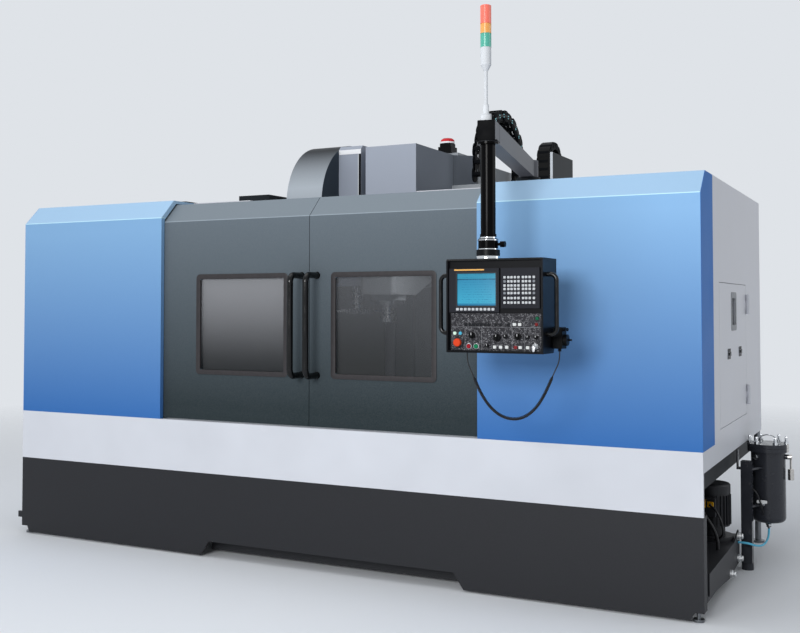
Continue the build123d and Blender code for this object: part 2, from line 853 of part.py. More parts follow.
# Spindle nose and the face mill in its holder; the holder's flange has the gripper groove.
flange_low = nose_z - 39
groove_low = nose_z - 33
groove_high = nose_z - 17
with BuildPart() as spindle_nose:
    disc(0, spindle_y, nose_z, nose_z + 20, nose_radius)
    disc(0, spindle_y, nose_z + 20, housing_low - slide_gap, 100)
write(spindle_nose, "spindle_nose")

def tool_holder(x, shank_low, shank_radius):
    """Holder's flange in three discs with the gripper groove, and the shank under it."""
    discs = []
    for z0, z1, radius in (
        (groove_high, nose_z, flange_radius),
        (groove_low, groove_high, groove_radius),
        (flange_low, groove_low, flange_radius),
        (shank_low, flange_low, shank_radius),
    ):
        with BuildPart() as step:
            disc(x, spindle_y, z0, z1, radius)
        discs.append(step)
    return discs


cutter_low = nose_z - tool_length
cutter_high = cutter_low + 38
with BuildPart() as cutter:
    disc(0, spindle_y, cutter_low, cutter_high, cutter_radius)
    with BuildSketch(Plane.XY.offset(cutter_low)):
        with Locations((0, spindle_y)):
            with PolarLocations(cutter_radius, 6):
                Rectangle(30, 22)
    extrude(amount=26, mode=Mode.SUBTRACT)
write_group([*tool_holder(0, cutter_high, 36), cutter], "face_mill")

# Magazine: round cover open below, with its shaft and the beam to the column's side.
mag_wall = 6.0
shaft_radius = 40.0
open_below = 290.0
with BuildPart() as magazine_cover:
    bar_x(drum_x_low, drum_x_high, drum_y, drum_z, drum_radius)
    block(beam_x0, beam_x1, drum_y + 300, 985, drum_z - 100, drum_z + 100)
    block(beam_x1, -column_half, 945, 985, drum_z - 100, drum_z + 100)
    block(beam_x0, beam_x1, 985, 1100, drum_z - 100, drum_z - 40)
    bar_x(
        drum_x_low + mag_wall, drum_x_high - mag_wall, drum_y, drum_z, drum_radius - mag_wall, Mode.SUBTRACT
    )
    bar_x(drum_x_low + mag_wall, drum_x_high - mag_wall, drum_y, drum_z, shaft_radius)
    block(
        drum_x_low, drum_x_high, drum_y - drum_radius, drum_y + drum_radius, drum_z - drum_radius,
        drum_z - open_below, Mode.SUBTRACT,
    )
write(magazine_cover, "magazine_cover")

drum_gap = 6.0
pot_circle = 370.0
with BuildPart() as tool_drum:
    x0 = drum_x_low + mag_wall + drum_gap
    x1 = drum_x_high - mag_wall - drum_gap
    bar_x(x0, x0 + 30, drum_y, drum_z, pot_circle + 20)
    bar_x(x0, x1, drum_y, drum_z, 85)
    with BuildSketch(plane_yz(x0)):
        with Locations((drum_y, drum_z)):
            with PolarLocations(pot_circle, pot_count):
                Circle(pot_radius)
    extrude(amount=x1 - x0)
    with BuildSketch(plane_yz(x1 - 40)):
        with Locations((drum_y, drum_z)):
            with PolarLocations(pot_circle, pot_count):
                Circle(pot_radius + 6)
                Circle(pot_radius - 3, mode=Mode.SUBTRACT)
    extrude(amount=12)
    bar_x(x0, x1, drum_y, drum_z, shaft_radius + pin_gap, Mode.SUBTRACT)
write(tool_drum, "tool_drum")

# Tool changer: gear case beside the magazine with the change pot and its waiting tool.
changer_right = -154.0
changer_low = 1700.0
pot_x = -2 * swing_radius
with BuildPart() as gear_case:
    block(drum_x_high, changer_right, -100, 430, changer_low, 2670)
    chamfer(gear_case.faces().sort_by(Axis.Z)[-1].edges().filter_by(Axis.X), 25)
    block(pot_x - 45, drum_x_high, spindle_y - 40, spindle_y + 40, changer_low, changer_low + 22)
with BuildPart() as change_pot:
    disc(pot_x, spindle_y, nose_z, changer_low, 52)
write_group([gear_case, change_pot, *tool_holder(pot_x, flange_low - 60, 22)], "tool_changer_box")

# Tool arm: double gripper on a vertical shaft. Each jaw is set together of five gripper plates
# with flat pads round the holder's groove and is open towards the swing, so it closes round the
# groove as the arm turns.
jaw_low = groove_low + 2
jaw_high = groove_high - 2
pad = groove_radius + grip_clearance
pad_end = pad * math.tan(math.radians(22.5))
rim_flat = pad + 27
rim_end = rim_flat * math.tan(math.radians(22.5))
finger_tip = 60.0
gripper_plates = (
    ((-pad_end, pad), (finger_tip, pad), (finger_tip - 6, pad + 17), (20, rim_flat), (-rim_end, rim_flat)),
    ((-pad_end, pad), (-rim_end, rim_flat), (-rim_flat, rim_end), (-pad, pad_end)),
    ((-pad, pad_end), (-rim_flat, rim_end), (-rim_flat, -rim_end), (-pad, -pad_end)),
    ((-pad, -pad_end), (-rim_flat, -rim_end), (-rim_end, -rim_flat), (-pad_end, -pad)),
    ((-pad_end, -pad), (-rim_end, -rim_flat), (38, -rim_flat), (45, -pad - 7), (0, -pad)),
)
hub_radius = 58.0
beam_half = 38.0
beam_reach = swing_radius - rim_flat
beam_low = jaw_low - 9
beam_high = jaw_high + 9
hub_ring = 5.0
with BuildPart() as arm_beam:
    block(
        -swing_radius - beam_half, -swing_radius + beam_half, spindle_y - beam_reach, spindle_y + beam_reach,
        beam_low, beam_high,
    )
arm_pieces = [arm_beam]
for z0, z1, radius in (
    (beam_low - hub_ring, beam_low, hub_radius),
    (beam_high, beam_high + hub_ring, hub_radius),
    (beam_high + hub_ring, changer_low - slide_gap, beam_half),
):
    with BuildPart() as arm_hub:
        disc(-swing_radius, spindle_y, z0, z1, radius)
    arm_pieces.append(arm_hub)
for end in (-1, 1):
    for outline in gripper_plates:
        with BuildPart() as gripper_plate:
            flat_plate(
                [(-swing_radius - end * u, spindle_y + end * (swing_radius + v)) for u, v in outline],
                jaw_low, jaw_high,
            )
        arm_pieces.append(gripper_plate)
write_group(arm_pieces, "tool_arm")

# Cable chain: flat links bent over in an arch, from the head's bracket up and back to the
# column's side bracket.
with BuildPart() as cable_chain:
    with BuildSketch(plane_yz(chain_x - chain_width / 2)):
        with Locations((chain_y, chain_z)):
            Circle(chain_outer)
            Circle(chain_inner, mode=Mode.SUBTRACT)
            with Locations((0, -chain_outer)):
                Rectangle(2 * chain_outer, 2 * chain_outer, mode=Mode.SUBTRACT)
        with Locations((front_mid, (chain_z + chain_front_end) / 2)):
            Rectangle(chain_link, chain_z - chain_front_end)
        with Locations((back_mid, (chain_z + chain_back_end) / 2)):
            Rectangle(chain_link, chain_z - chain_back_end)
    extrude(amount=chain_width)
    for x in (chain_x - chain_width / 2, chain_x + chain_width / 2 - 8):
        with BuildSketch(plane_yz(x)):
            for n in range(link_count + 1):
                angle = math.radians(180 * n / link_count)
                with Locations(
                    (chain_y + chain_outer * math.cos(angle), chain_z + chain_outer * math.sin(angle))
                ):
                    Rectangle(44, 12, rotation=180 * n / link_count)
        extrude(amount=8, mode=Mode.SUBTRACT)
write(cable_chain, "cable_chain")

# Roof fittings: arm pedestal with its pin, guard plate with the small cable chain behind it,
# an exhaust box and two low blocks.
arm_dir = (math.sin(math.radians(arm_angle)), -math.cos(math.radians(arm_angle)))
pivot_x = post_x - arm_length * arm_dir[0]
pivot_y = post_y - arm_length * arm_dir[1]
pivot_pin = 30.0
shield_x = 1000.0
shield_y0 = 549.0
shield_y1 = back_y
shield_top = 2630.0
small_radius = 150.0
small_z = 2570.0
with BuildPart() as roof_fittings:
    disc(pivot_x, pivot_y, top_z, top_z + 30, 105)
    disc(pivot_x, pivot_y, top_z + 30, arm_bottom - slide_gap, 75)
    disc(pivot_x, pivot_y, arm_bottom - slide_gap, arm_bottom + arm_height - 8, pivot_pin)
    block(shield_x, shield_x + 4, shield_y0, shield_y1, top_z, shield_top)
    block(shield_x - 26, shield_x + 4, shield_y0 - 4, shield_y0, top_z, shield_top)
    block(shield_x - 26, shield_x, shield_y0, shield_y1, top_z, top_z + 4)
    with BuildSketch(plane_yz(shield_x - 110)):
        with Locations(((shield_y0 + shield_y1) / 2 - 83, small_z)):
            Circle(small_radius)
            Circle(small_radius - 52, mode=Mode.SUBTRACT)
            with Locations((0, -small_radius)):
                Rectangle(2 * small_radius, 2 * small_radius, mode=Mode.SUBTRACT)
        for dy in (-small_radius + 26, small_radius - 26):
            with Locations(((shield_y0 + shield_y1) / 2 - 83 + dy, (small_z + top_z) / 2)):
                Rectangle(52, small_z - top_z)
    extrude(amount=84)
    block(-900, -655, -480, -180, top_z, top_z + 62)
    block(-1700, -1500, -300, -160, top_z, top_z + 70)
    block(1750, 1960, -260, -140, top_z, top_z + 26)
write(roof_fittings, "roof_fittings")

# Pendant arm: box beam turned about the pedestal's pin, with the post, the silver ring and the
# rotary joint with its clamp knob under it.
beam_plane = Plane(origin=(pivot_x, pivot_y, arm_bottom), x_dir=(arm_dir[0], arm_dir[1], 0), z_dir=(0, 0, 1))
pendant_top = pendant_bottom + pendant_height
joint_low = pendant_top + 46
joint_high = joint_low + 55
with BuildPart() as pendant_arm:
    with BuildSketch(beam_plane):
        with Locations(((arm_length - 60 + 50) / 2, 0)):
            Rectangle(arm_length + 60 + 50, arm_width)
    extrude(amount=arm_height)
    chamfer(pendant_arm.edges().filter_by(Axis.Z), 6)
    disc(pivot_x, pivot_y, arm_bottom, arm_bottom + arm_height, 62)
    disc(pivot_x, pivot_y, arm_bottom, arm_bottom + arm_height, pivot_pin + pin_gap, Mode.SUBTRACT)
    disc(pivot_x, pivot_y, arm_bottom + arm_height, arm_bottom + arm_height + 6, 62)
    disc(post_x, post_y, arm_bottom - 14, arm_bottom, 54)
    disc(post_x, post_y, joint_high + 24, arm_bottom - 14, post_radius)
    disc(post_x, post_y, joint_high, joint_high + 24, post_radius + 4)
    disc(post_x, post_y, joint_low + slide_gap, joint_high, 50)
    bar_x(post_x + 45, post_x + 84, post_y, (joint_low + joint_high) / 2, 7)
    bar_x(post_x + 66, post_x + 90, post_y, (joint_low + joint_high) / 2, 15)
write(pendant_arm, "pendant_arm")

# Signal tower on the front end of the arm: clamp, sleeve, pole and base, then three lenses.
light_x = post_x - 18
light_y = post_y + 20
light_foot = arm_bottom + arm_height
lens_low = 2870.0
lens_heights = (70.0, 50.0, 95.0)
with BuildPart() as tower_light_pole:
    disc(light_x, light_y, light_foot, light_foot + 42, 27)
    disc(light_x, light_y, light_foot + 42, light_foot + 92, 14)
    disc(light_x, light_y, light_foot + 92, lens_low - 120, 9)
    with BuildSketch(Plane.XY.offset(lens_low - 120)):
        with Locations((light_x, light_y)):
            Circle(11)
    with BuildSketch(Plane.XY.offset(lens_low - 90)):
        with Locations((light_x, light_y)):
            Circle(light_radius - 1)
    loft()
    disc(light_x, light_y, lens_low - 90, lens_low, light_radius - 1)
write(tower_light_pole, "tower_light_pole")

with BuildPart() as tower_lenses:
    z = lens_low
    for n, tall in enumerate(lens_heights):
        disc(light_x, light_y, z, z + tall - 3, light_radius)
        disc(light_x, light_y, z + tall - 3, z + tall, light_radius - 3)
        z += tall
    fillet(tower_lenses.faces().sort_by(Axis.Z)[-1].edges(), 2)
write(tower_lenses, "tower_lenses")

# Pendant: housing with a rim round the recessed face, a top flange and collar, and the side
# bracket for the handwheel.
pendant_right = pendant_left + pendant_width
pendant_back = pendant_front + pendant_depth
face_y = pendant_front + 16
rim = 10.0
with BuildPart() as pendant_housing:
    with BuildSketch(plane_yz(pendant_left)):
        Polygon(
            (pendant_front, pendant_bottom),
            (pendant_front, pendant_top - 8),
            (pendant_front + 8, pendant_top),
            (pendant_back, pendant_top),
            (pendant_back, pendant_bottom + 70),
            (pendant_back - 50, pendant_bottom),
            align=None,
        )
    extrude(amount=pendant_width)
    block(
        pendant_left + rim, pendant_right - rim, pendant_front, face_y, pendant_bottom + rim,
        pendant_top - rim, Mode.SUBTRACT,
    )
    disc(post_x, post_y, pendant_top, pendant_top + 15, 63)
    disc(post_x, post_y, pendant_top + 15, joint_low, 59)
write(pendant_housing, "pendant_housing")

# Display unit with its screen and row of keys, and the key unit with its key grid.
display_left = pendant_left + 14
display_low = pendant_bottom + 199
display_width = 266.0
display_height = 217.0
keys_left = display_left + display_width + 10
keys_width = 198.0
keys_height = 197.0
unit_front = face_y - 12
key_columns = (20, 40, 56, 74, 92, 115, 131, 149, 170)
key_rows = (46, 66, 86, 103, 123, 147, 169)
with BuildPart() as control_unit:
    block(
        display_left, display_left + display_width, unit_front, face_y, display_low, display_low + display_height
    )
    screen_x = display_left + 43
    screen_z = display_low + 33
    block(screen_x, screen_x + 205, unit_front, unit_front + 4, screen_z, screen_z + 159, Mode.SUBTRACT)
    for n in range(10):
        block(screen_x - 5 + n * 21, screen_x + 11 + n * 21, unit_front - 2.5, unit_front, display_low + 9, display_low + 22)
    top = display_low + display_height
    block(keys_left, keys_left + keys_width, unit_front, face_y, top - keys_height, top)
    for down in key_rows:
        for across in key_columns:
            x = keys_left + across
            z = top - down
            block(x - 6, x + 6, unit_front - 2.5, unit_front, z - 6, z + 6)
write(control_unit, "control_unit")

# Operator panel with its key rows, two small fixed knobs and the holes for the push buttons.
panel_low = pendant_bottom + 12
panel_high = display_low - 5
panel_front = face_y - 6
estop_at = (pendant_left + 62, pendant_bottom + 50)
hold_at = (pendant_left + 118, pendant_bottom + 32)
start_at = (pendant_left + 157, pendant_bottom + 32)
feed_at = (pendant_left + 268, pendant_bottom + 77)
speed_at = (pendant_left + 377, pendant_bottom + 83)
mode_at = (pendant_left + 137, pendant_bottom + 87)
key_at = (pendant_left + 463, pendant_bottom + 36)
small_keys = [(103 + 20.4 * n, 139) for n in range(7)]
small_keys += [(261, 139), (286, 139), (328, 139), (358, 141), (385, 141)]
small_keys += [(255, 30), (286, 30), (318, 30), (363, 30), (387, 30), (425, 30)]
small_knobs = ((217, 37), (312, 82), (427, 80), (468, 80))
lamps = ((43, 95), (73, 95), (474, 171), (470, 142))
button_radius = 11.0
button_clear = 0.3
stem_radius = 12.0
with BuildPart() as operator_panel:
    block(pendant_left + 22, pendant_right - 12, panel_front, face_y, panel_low, panel_high)
    bar_y(panel_front - 4, panel_front, estop_at[0], estop_at[1], 24)
    for across, up in small_keys:
        x = pendant_left + across
        z = pendant_bottom + up
        block(x - 8, x + 8, panel_front - 3, panel_front, z - 7, z + 7)
    for across, up in small_knobs:
        bar_y(panel_front - 14, panel_front, pendant_left + across, pendant_bottom + up, 9)
    for across, up in lamps:
        bar_y(panel_front - 3, panel_front, pendant_left + across, pendant_bottom + up, 8)
    bar_y(panel_front - 4, face_y, estop_at[0], estop_at[1], stem_radius + button_clear, Mode.SUBTRACT)
    for x, z in (hold_at, start_at):
        bar_y(panel_front, face_y, x, z, button_radius + button_clear, Mode.SUBTRACT)
write(operator_panel, "operator_panel")

with BuildPart() as emergency_stop:
    bar_y(panel_front - 10, face_y - 4.5, estop_at[0], estop_at[1], stem_radius)
    bar_y(panel_front - 26, panel_front - 10, estop_at[0], estop_at[1], 20)
    fillet(emergency_stop.faces().sort_by(Axis.Y)[0].edges(), 7)
write(emergency_stop, "emergency_stop")


def push_button(at):
    """Round push button that sinks into its hole in the panel."""
    with BuildPart() as button:
        bar_y(panel_front - 8, face_y - 4, at[0], at[1], button_radius)
        fillet(button.faces().sort_by(Axis.Y)[0].edges(), 2)
    return button


write(push_button(start_at), "cycle_start")
write(push_button(hold_at), "feed_hold")


def selector_knob(at, radius):
    """Turning knob with a raised pointer bar, just off the panel's face."""
    with BuildPart() as knob:
        bar_y(panel_front - 12, panel_front - slide_gap, at[0], at[1], radius)
        block(at[0] - 4, at[0] + 4, panel_front - 20, panel_front - 12, at[1] - radius + 3, at[1] + radius - 1)
    return knob


write(selector_knob(mode_at, 16), "mode_selector")
write(selector_knob(feed_at, 18), "feed_override")
write(selector_knob(speed_at, 16), "spindle_override")

with BuildPart() as key_switch:
    bar_y(panel_front - 8, panel_front - slide_gap, key_at[0], key_at[1], 11)
    block(key_at[0] - 1.5, key_at[0] + 1.5, panel_front - 22, panel_front - 8, key_at[1] - 4, key_at[1] + 4)
    block(key_at[0] - 1.5, key_at[0] + 1.5, panel_front - 34, panel_front - 22, key_at[1] - 12, key_at[1] + 10)
write(key_switch, "key_switch")

# Guard handles down both sides of the pendant.
grip_out = 52.0
grip_radius = 11.0
grip_y = pendant_front + 50
with BuildPart() as pendant_handles:
    for side, edge in ((-1, pendant_left), (1, pendant_right)):
        z0 = pendant_bottom + 95
        z1 = pendant_top - 80
        with BuildLine() as path:
            FilletPolyline(
                (edge, grip_y, z0),
                (edge + side * grip_out, grip_y, z0),
                (edge + side * grip_out, grip_y, z1),
                (edge, grip_y, z1),
                radius=30,
            )
        with BuildSketch(Plane(origin=(edge, grip_y, z0), z_dir=(side, 0, 0))):
            Circle(grip_radius)
        sweep(path=path.wires()[0])
write(pendant_handles, "pendant_handles")

# Hand-held pulse unit parked on the pendant's right side, its dial, and its curly cord.
unit_y0 = pendant_front + 130
unit_y1 = pendant_front + 195
unit_z0 = pendant_bottom + 22
unit_z1 = unit_z0 + 105
dial_x = pendant_right + 53
dial_y = (unit_y0 + unit_y1) / 2
dial_z = unit_z0 + 42
with BuildPart() as handwheel_unit:
    block(pendant_right, pendant_right + 5, unit_y0 + 10, unit_y1 - 10, unit_z0 + 20, unit_z1 - 20)
    block(pendant_right + 5, dial_x, unit_y0, unit_y1, unit_z0, unit_z1)
    fillet(handwheel_unit.edges().filter_by(Axis.X), 5)
    bar_x(dial_x, dial_x + 14, unit_y0 + 16, unit_z1 - 12, 8)
    bar_x(dial_x, dial_x + 14, unit_y1 - 16, unit_z1 - 12, 8)
    disc(pendant_right + 29, dial_y, unit_z0 - 14, unit_z0, 8)
write(handwheel_unit, "handwheel_unit")

with BuildPart() as handwheel_dial:
    bar_x(dial_x + slide_gap, dial_x + 18, dial_y, dial_z, 28)
    with BuildSketch(plane_yz(dial_x + 6)):
        with Locations((dial_y, dial_z)):
            with PolarLocations(28, 24):
                Rectangle(3, 4)
    extrude(amount=12, mode=Mode.SUBTRACT)
    bar_x(dial_x + 18, dial_x + 32, dial_y + 17, dial_z, 5)
write(handwheel_dial, "handwheel_dial")

# Cord of the pulse unit: thin out of the pendant's floor, curly in the middle, thin again up
# into the unit's gland. The curly stretch is one tube of the curl's outer diameter.
cord_radius = 3.0
curl_radius = 9.0
cord_points = [
    (pendant_left + 87, pendant_front + 60, pendant_bottom),
    (pendant_left + 87, pendant_front + 60, 1290),
    (1256, -1517, 1247),
    (1279, -1512, 1196),
    (1306, -1505, 1131),
    (1350, -1496, 1063),
    (1406, -1486, 1018),
    (1469, -1475, 1003),
    (1530, -1464, 1020),
    (1582, -1452, 1068),
    (1619, -1441, 1133),
    (1645, -1431, 1196),
    (1666, -1424, 1246),
    (pendant_right + 29, dial_y, 1296),
    (pendant_right + 29, dial_y, unit_z0 - 14),
]


def halfway(a, b):
    """Point halfway between two points."""
    return tuple((p + q) / 2 for p, q in zip(a, b))


def arc_radii(points):
    """Largest tangent arc at each inner point: 0.45 of its shorter run over tan(half turn)."""
    radii = []
    for a, b, c in zip(points, points[1:], points[2:]):
        run_in = Vector(*b) - Vector(*a)
        run_out = Vector(*c) - Vector(*b)
        half_turn = math.radians(run_in.get_angle(run_out)) / 2
        radii.append(0.45 * min(run_in.length, run_out.length) / math.tan(half_turn))
    return radii


def tube(points, radius):
    """Tube along straight runs joined by tangent arcs; prints its arcs' radii."""
    radii = arc_radii(points)
    print("arc radii", [round(r) for r in radii], "for tube radius", radius)
    start = Vector(*points[0])
    with BuildLine() as path:
        FilletPolyline(*points, radius=radii)
    with BuildSketch(Plane(origin=start, z_dir=Vector(*points[1]) - start)) as section:
        Circle(radius)
    sweep(section.sketch, path=path.wires()[0])
    print("length", round(path.wires()[0].length))


first_split = halfway(cord_points[2], cord_points[3])
second_split = halfway(cord_points[11], cord_points[12])
with BuildPart() as handwheel_cord:
    tube([*cord_points[:3], first_split], cord_radius)
    tube([first_split, *cord_points[3:12], second_split], curl_radius)
    tube([second_split, *cord_points[12:]], cord_radius)
write(handwheel_cord, "handwheel_cord")

# Electrical cabinet behind the right rear panel, open at the back behind one hinged door,
# with drive units on its mounting wall.
cabinet_right = cabinet_left + cabinet_width
cabinet_back = back_y + cabinet_depth
cabinet_top = cabinet_bottom + cabinet_height
frame_lip = 20.0
with BuildPart() as electrical_cabinet:
    block(cabinet_left, cabinet_right, back_y, cabinet_back, cabinet_bottom, cabinet_top)
    block(
        cabinet_left + frame_lip, cabinet_right - frame_lip, back_y + frame_lip, cabinet_back,
        cabinet_bottom + frame_lip, cabinet_top - frame_lip, Mode.SUBTRACT,
    )
    for n in range(5):
        x = cabinet_left + 110 + n * 160
        block(x, x + 130, back_y + frame_lip, back_y + 190, cabinet_bottom + 1150, cabinet_bottom + 1600)
    for z in (cabinet_bottom + 300, cabinet_bottom + 620):
        block(cabinet_left + 110, cabinet_right - 110, back_y + frame_lip, back_y + 110, z, z + 160)
    for x in (cabinet_left + 60, cabinet_right - 60):
        for y in (back_y + 60, cabinet_back - 60):
            disc(x, y, 0, cabinet_bottom, 32)
    cabinet_heights = (cabinet_bottom + 250, cabinet_top - 250)
    hinge_fixed(cabinet_left + frame_lip, cabinet_back + hinge_out, cabinet_heights, (0, 1), (-1, 0))
write(electrical_cabinet, "electrical_cabinet")

switch_x = cabinet_right - 130
switch_z = cabinet_bottom + 1350
with BuildPart() as cabinet_door:
    block(
        cabinet_left + frame_lip + 1, cabinet_right - frame_lip - door_gap, cabinet_back - frame_lip, cabinet_back,
        cabinet_bottom + frame_lip + door_gap, cabinet_top - frame_lip - door_gap,
    )
    for z in (cabinet_bottom + 400, cabinet_bottom + 1750):
        with BuildSketch(plane_xz(cabinet_back)):
            with Locations((cabinet_left + cabinet_width / 2, z)):
                with GridLocations(0, 16, 1, 8):
                    SlotOverall(260, 7)
        extrude(amount=frame_lip, mode=Mode.SUBTRACT)
    block(
        cabinet_right - 150, cabinet_right - 110, cabinet_back, cabinet_back + 22, switch_z - 420, switch_z - 250
    )
    block(switch_x - 45, switch_x + 45, cabinet_back, cabinet_back + 6, switch_z - 45, switch_z + 45)
    hinge_moving(cabinet_left + frame_lip, cabinet_back + hinge_out, cabinet_heights, (0, 1), (1, 0))
write(cabinet_door, "cabinet_door")

with BuildPart() as main_switch:
    bar_y(cabinet_back + 6 + slide_gap, cabinet_back + 16, switch_x, switch_z, 32)
    block(switch_x - 8, switch_x + 8, cabinet_back + 16, cabinet_back + 34, switch_z - 30, switch_z + 38)
write(main_switch, "main_switch")

# Coolant tank on rollers under the right side, with its outer side plate, the pump motor and
# its connectors on top.
tank_x0 = bed_half + 170
tank_x1 = half - 15
tank_y0 = front_y + 150
tank_y1 = 160.0
tank_low = 62.0
tank_high = 205.0
motor_x = 2160.0
motor_pump_y = -20.0
with BuildPart() as coolant_pump:
    block(tank_x0, tank_x1, tank_y0, tank_y1, tank_low, tank_high)
    chamfer(coolant_pump.edges().filter_by(Axis.Z), 20)
    for x in (tank_x0 + 80, tank_x1 - 80):
        for y in (tank_y0 + 90, tank_y1 - 90):
            block(x - 22, x + 22, y - 30, y + 30, 40, tank_low)
            bar_x(x - 16, x + 16, y, 30, 30)
    with BuildSketch(plane_yz(tank_x1)):
        Polygon(
            (tank_y0 + 30, tank_low + 30),
            (tank_y0 + 30, tank_high),
            (tank_y1 - 260, tank_high),
            (tank_y1 - 100, tank_high + 45),
            (tank_y1 - 100, tank_low),
            (tank_y1 - 420, tank_low - 22),
            align=None,
        )
    extrude(amount=8)
    for y, z in ((tank_y1 - 130, tank_high + 15), (tank_y1 - 130, tank_low + 30), (tank_y1 - 400, tank_low)):
        bar_x(tank_x1 + 8, tank_x1 + 20, y, z, 15)
    disc(motor_x, motor_pump_y, tank_high, tank_high + 24, 118)
    disc(motor_x, motor_pump_y, tank_high + 24, tank_high + 80, 70)
    disc(motor_x, motor_pump_y, tank_high + 80, tank_high + 270, 96)
    with BuildSketch(Plane.XY.offset(tank_high + 90)):
        with Locations((motor_x, motor_pump_y)):
            with PolarLocations(96, 28):
                Rectangle(18, 5)
    extrude(amount=170)
    disc(motor_x, motor_pump_y, tank_high + 270, tank_high + 325, 102)
    fillet(coolant_pump.faces().sort_by(Axis.Z)[-1].edges(), 14)
    block(
        motor_x - 62, motor_x + 40, motor_pump_y - 150, motor_pump_y - 85, tank_high + 150, tank_high + 255
    )
    block(motor_x - 52, motor_x - 8, motor_pump_y - 176, motor_pump_y - 150, tank_high + 205, tank_high + 245)
    block(motor_x + 2, motor_x + 36, motor_pump_y - 172, motor_pump_y - 150, tank_high + 210, tank_high + 240)
    for x in (tank_x0 + 140, tank_x0 + 420):
        disc(x, tank_y0 + 250, tank_high, tank_high + 20, 75)
        disc(x, tank_y0 + 250, tank_high + 20, tank_high + 190, 55)
write(coolant_pump, "coolant_pump")

# Line filter: vessel with a bolted lid on a square post, its valve, sight line and drain.
filter_top = filter_bottom + filter_height
post_square = 62.0
post_at = (2327.0, 167.0)
post_top = 640.0
lid = 24.0
bracket_turn = math.degrees(math.atan2(filter_y - post_at[1], filter_x - post_at[0]))
with BuildPart() as filter_unit:
    disc(filter_x, filter_y, filter_bottom, filter_top - lid, filter_radius)
    fillet(filter_unit.faces().sort_by(Axis.Z)[0].edges(), 30)
    disc(filter_x, filter_y, filter_top - 2 * lid, filter_top - lid, filter_radius + 20)
    disc(filter_x, filter_y, filter_top - lid + 1, filter_top, filter_radius + 20)
    disc(filter_x, filter_y, filter_top - lid - 2, filter_top, filter_radius + 4)
    with BuildSketch(Plane.XY.offset(filter_top)):
        with Locations((filter_x, filter_y)):
            with PolarLocations(filter_radius + 6, 6):
                RegularPolygon(13, 6)
    extrude(amount=14)
    for z in (filter_bottom + 110, filter_bottom + 330):
        with BuildSketch(
            Plane(
                origin=(post_at[0], post_at[1], z),
                x_dir=Vector(1, 0, 0).rotate(Axis.Z, bracket_turn),
                z_dir=(0, 0, 1),
            )
        ):
            with Locations(((filter_radius + 70) / 2, 0)):
                Rectangle(filter_radius + 70, 50)
        extrude(amount=12)
    bracket_x = half - panel - 8
    bracket_y0 = post_at[1] - 25
    bracket_y1 = post_at[1] + 25
    block(bracket_x, half - panel, bracket_y0, bracket_y1, post_top - 50, side_band_bottom + 70)
    block(bracket_x, post_at[0] - 20, bracket_y0, bracket_y1, post_top - 50, post_top - 40)
    block(
        post_at[0] - post_square / 2, post_at[0] + post_square / 2, post_at[1] - post_square / 2,
        post_at[1] + post_square / 2, 40, post_top,
    )
    disc(post_at[0], post_at[1], 0, 40, 35)
    bar_x(filter_x + filter_radius - 8, filter_x + filter_radius + 36, filter_y, filter_top - 78, 15)
    disc(filter_x + filter_radius + 30, filter_y, filter_top - 150, filter_top - 70, 6)
    disc(filter_x + filter_radius + 30, filter_y, filter_top - 215, filter_top - 150, 18)
    bar_y(filter_y - filter_radius - 34, filter_y - filter_radius + 10, filter_x - 20, filter_bottom + 125, 12)
    block(
        filter_x - 48, filter_x + 8, filter_y - filter_radius - 42, filter_y - filter_radius - 30,
        filter_bottom + 130, filter_bottom + 146,
    )
    disc(filter_x, filter_y, filter_bottom - 34, filter_bottom + 4, 14)
write(filter_unit, "filter_unit")

# Short hoses between fixed fittings: the drain hose to the tank's plate, the filter's side
# hose, and the pump's cable loop.
drain_z = filter_bottom - 34
plate_x = tank_x1 + 8
with BuildPart() as pump_hoses:
    tube(
        [
            (filter_x, filter_y, drain_z),
            (filter_x, filter_y, drain_z - 42),
            (filter_x - 4, filter_y - 60, drain_z - 72),
            (filter_x - 14, filter_y - 150, drain_z - 84),
            (filter_x - 42, filter_y - 245, drain_z - 70),
            (plate_x + 56, filter_y - 330, drain_z - 40),
            (plate_x, filter_y - 330, drain_z - 40),
        ],
        6,
    )
    tube(
        [
            (motor_x - 30, motor_pump_y - 176, tank_high + 225),
            (motor_x - 30, motor_pump_y - 240, tank_high + 225),
            (motor_x + 8, motor_pump_y - 300, tank_high + 190),
            (motor_x + 62, motor_pump_y - 316, tank_high + 120),
            (motor_x + 80, motor_pump_y - 300, tank_high + 55),
            (motor_x + 80, motor_pump_y - 300, tank_high),
        ],
        9,
    )
write(pump_hoses, "pump_hoses")

# Air service and lubrication unit on the left side: plate, oil reservoir and two air bowls.
unit_x0 = -half - unit_reach
with BuildPart() as air_service_unit:
    block(-half - 10, -half, 60, 620, 900, 1420)
    block(unit_x0, -half - 10, 110, 370, 960, 1300)
    fillet(air_service_unit.edges().filter_by(Axis.Z).group_by(Axis.X)[0], 18)
    disc((unit_x0 - half - 10) / 2, 240, 1300, 1330, 45)
    bar_y(400, 600, -half - 70, 1330, 22)
    block(-half - 80, -half - 10, 480, 520, 1312, 1348)
    for y in (440, 560):
        block(-half - 100, -half - 40, y - 32, y + 32, 1296, 1370)
        disc(-half - 70, y, 1170, 1296, 30)
write(air_service_unit, "air_service_unit")
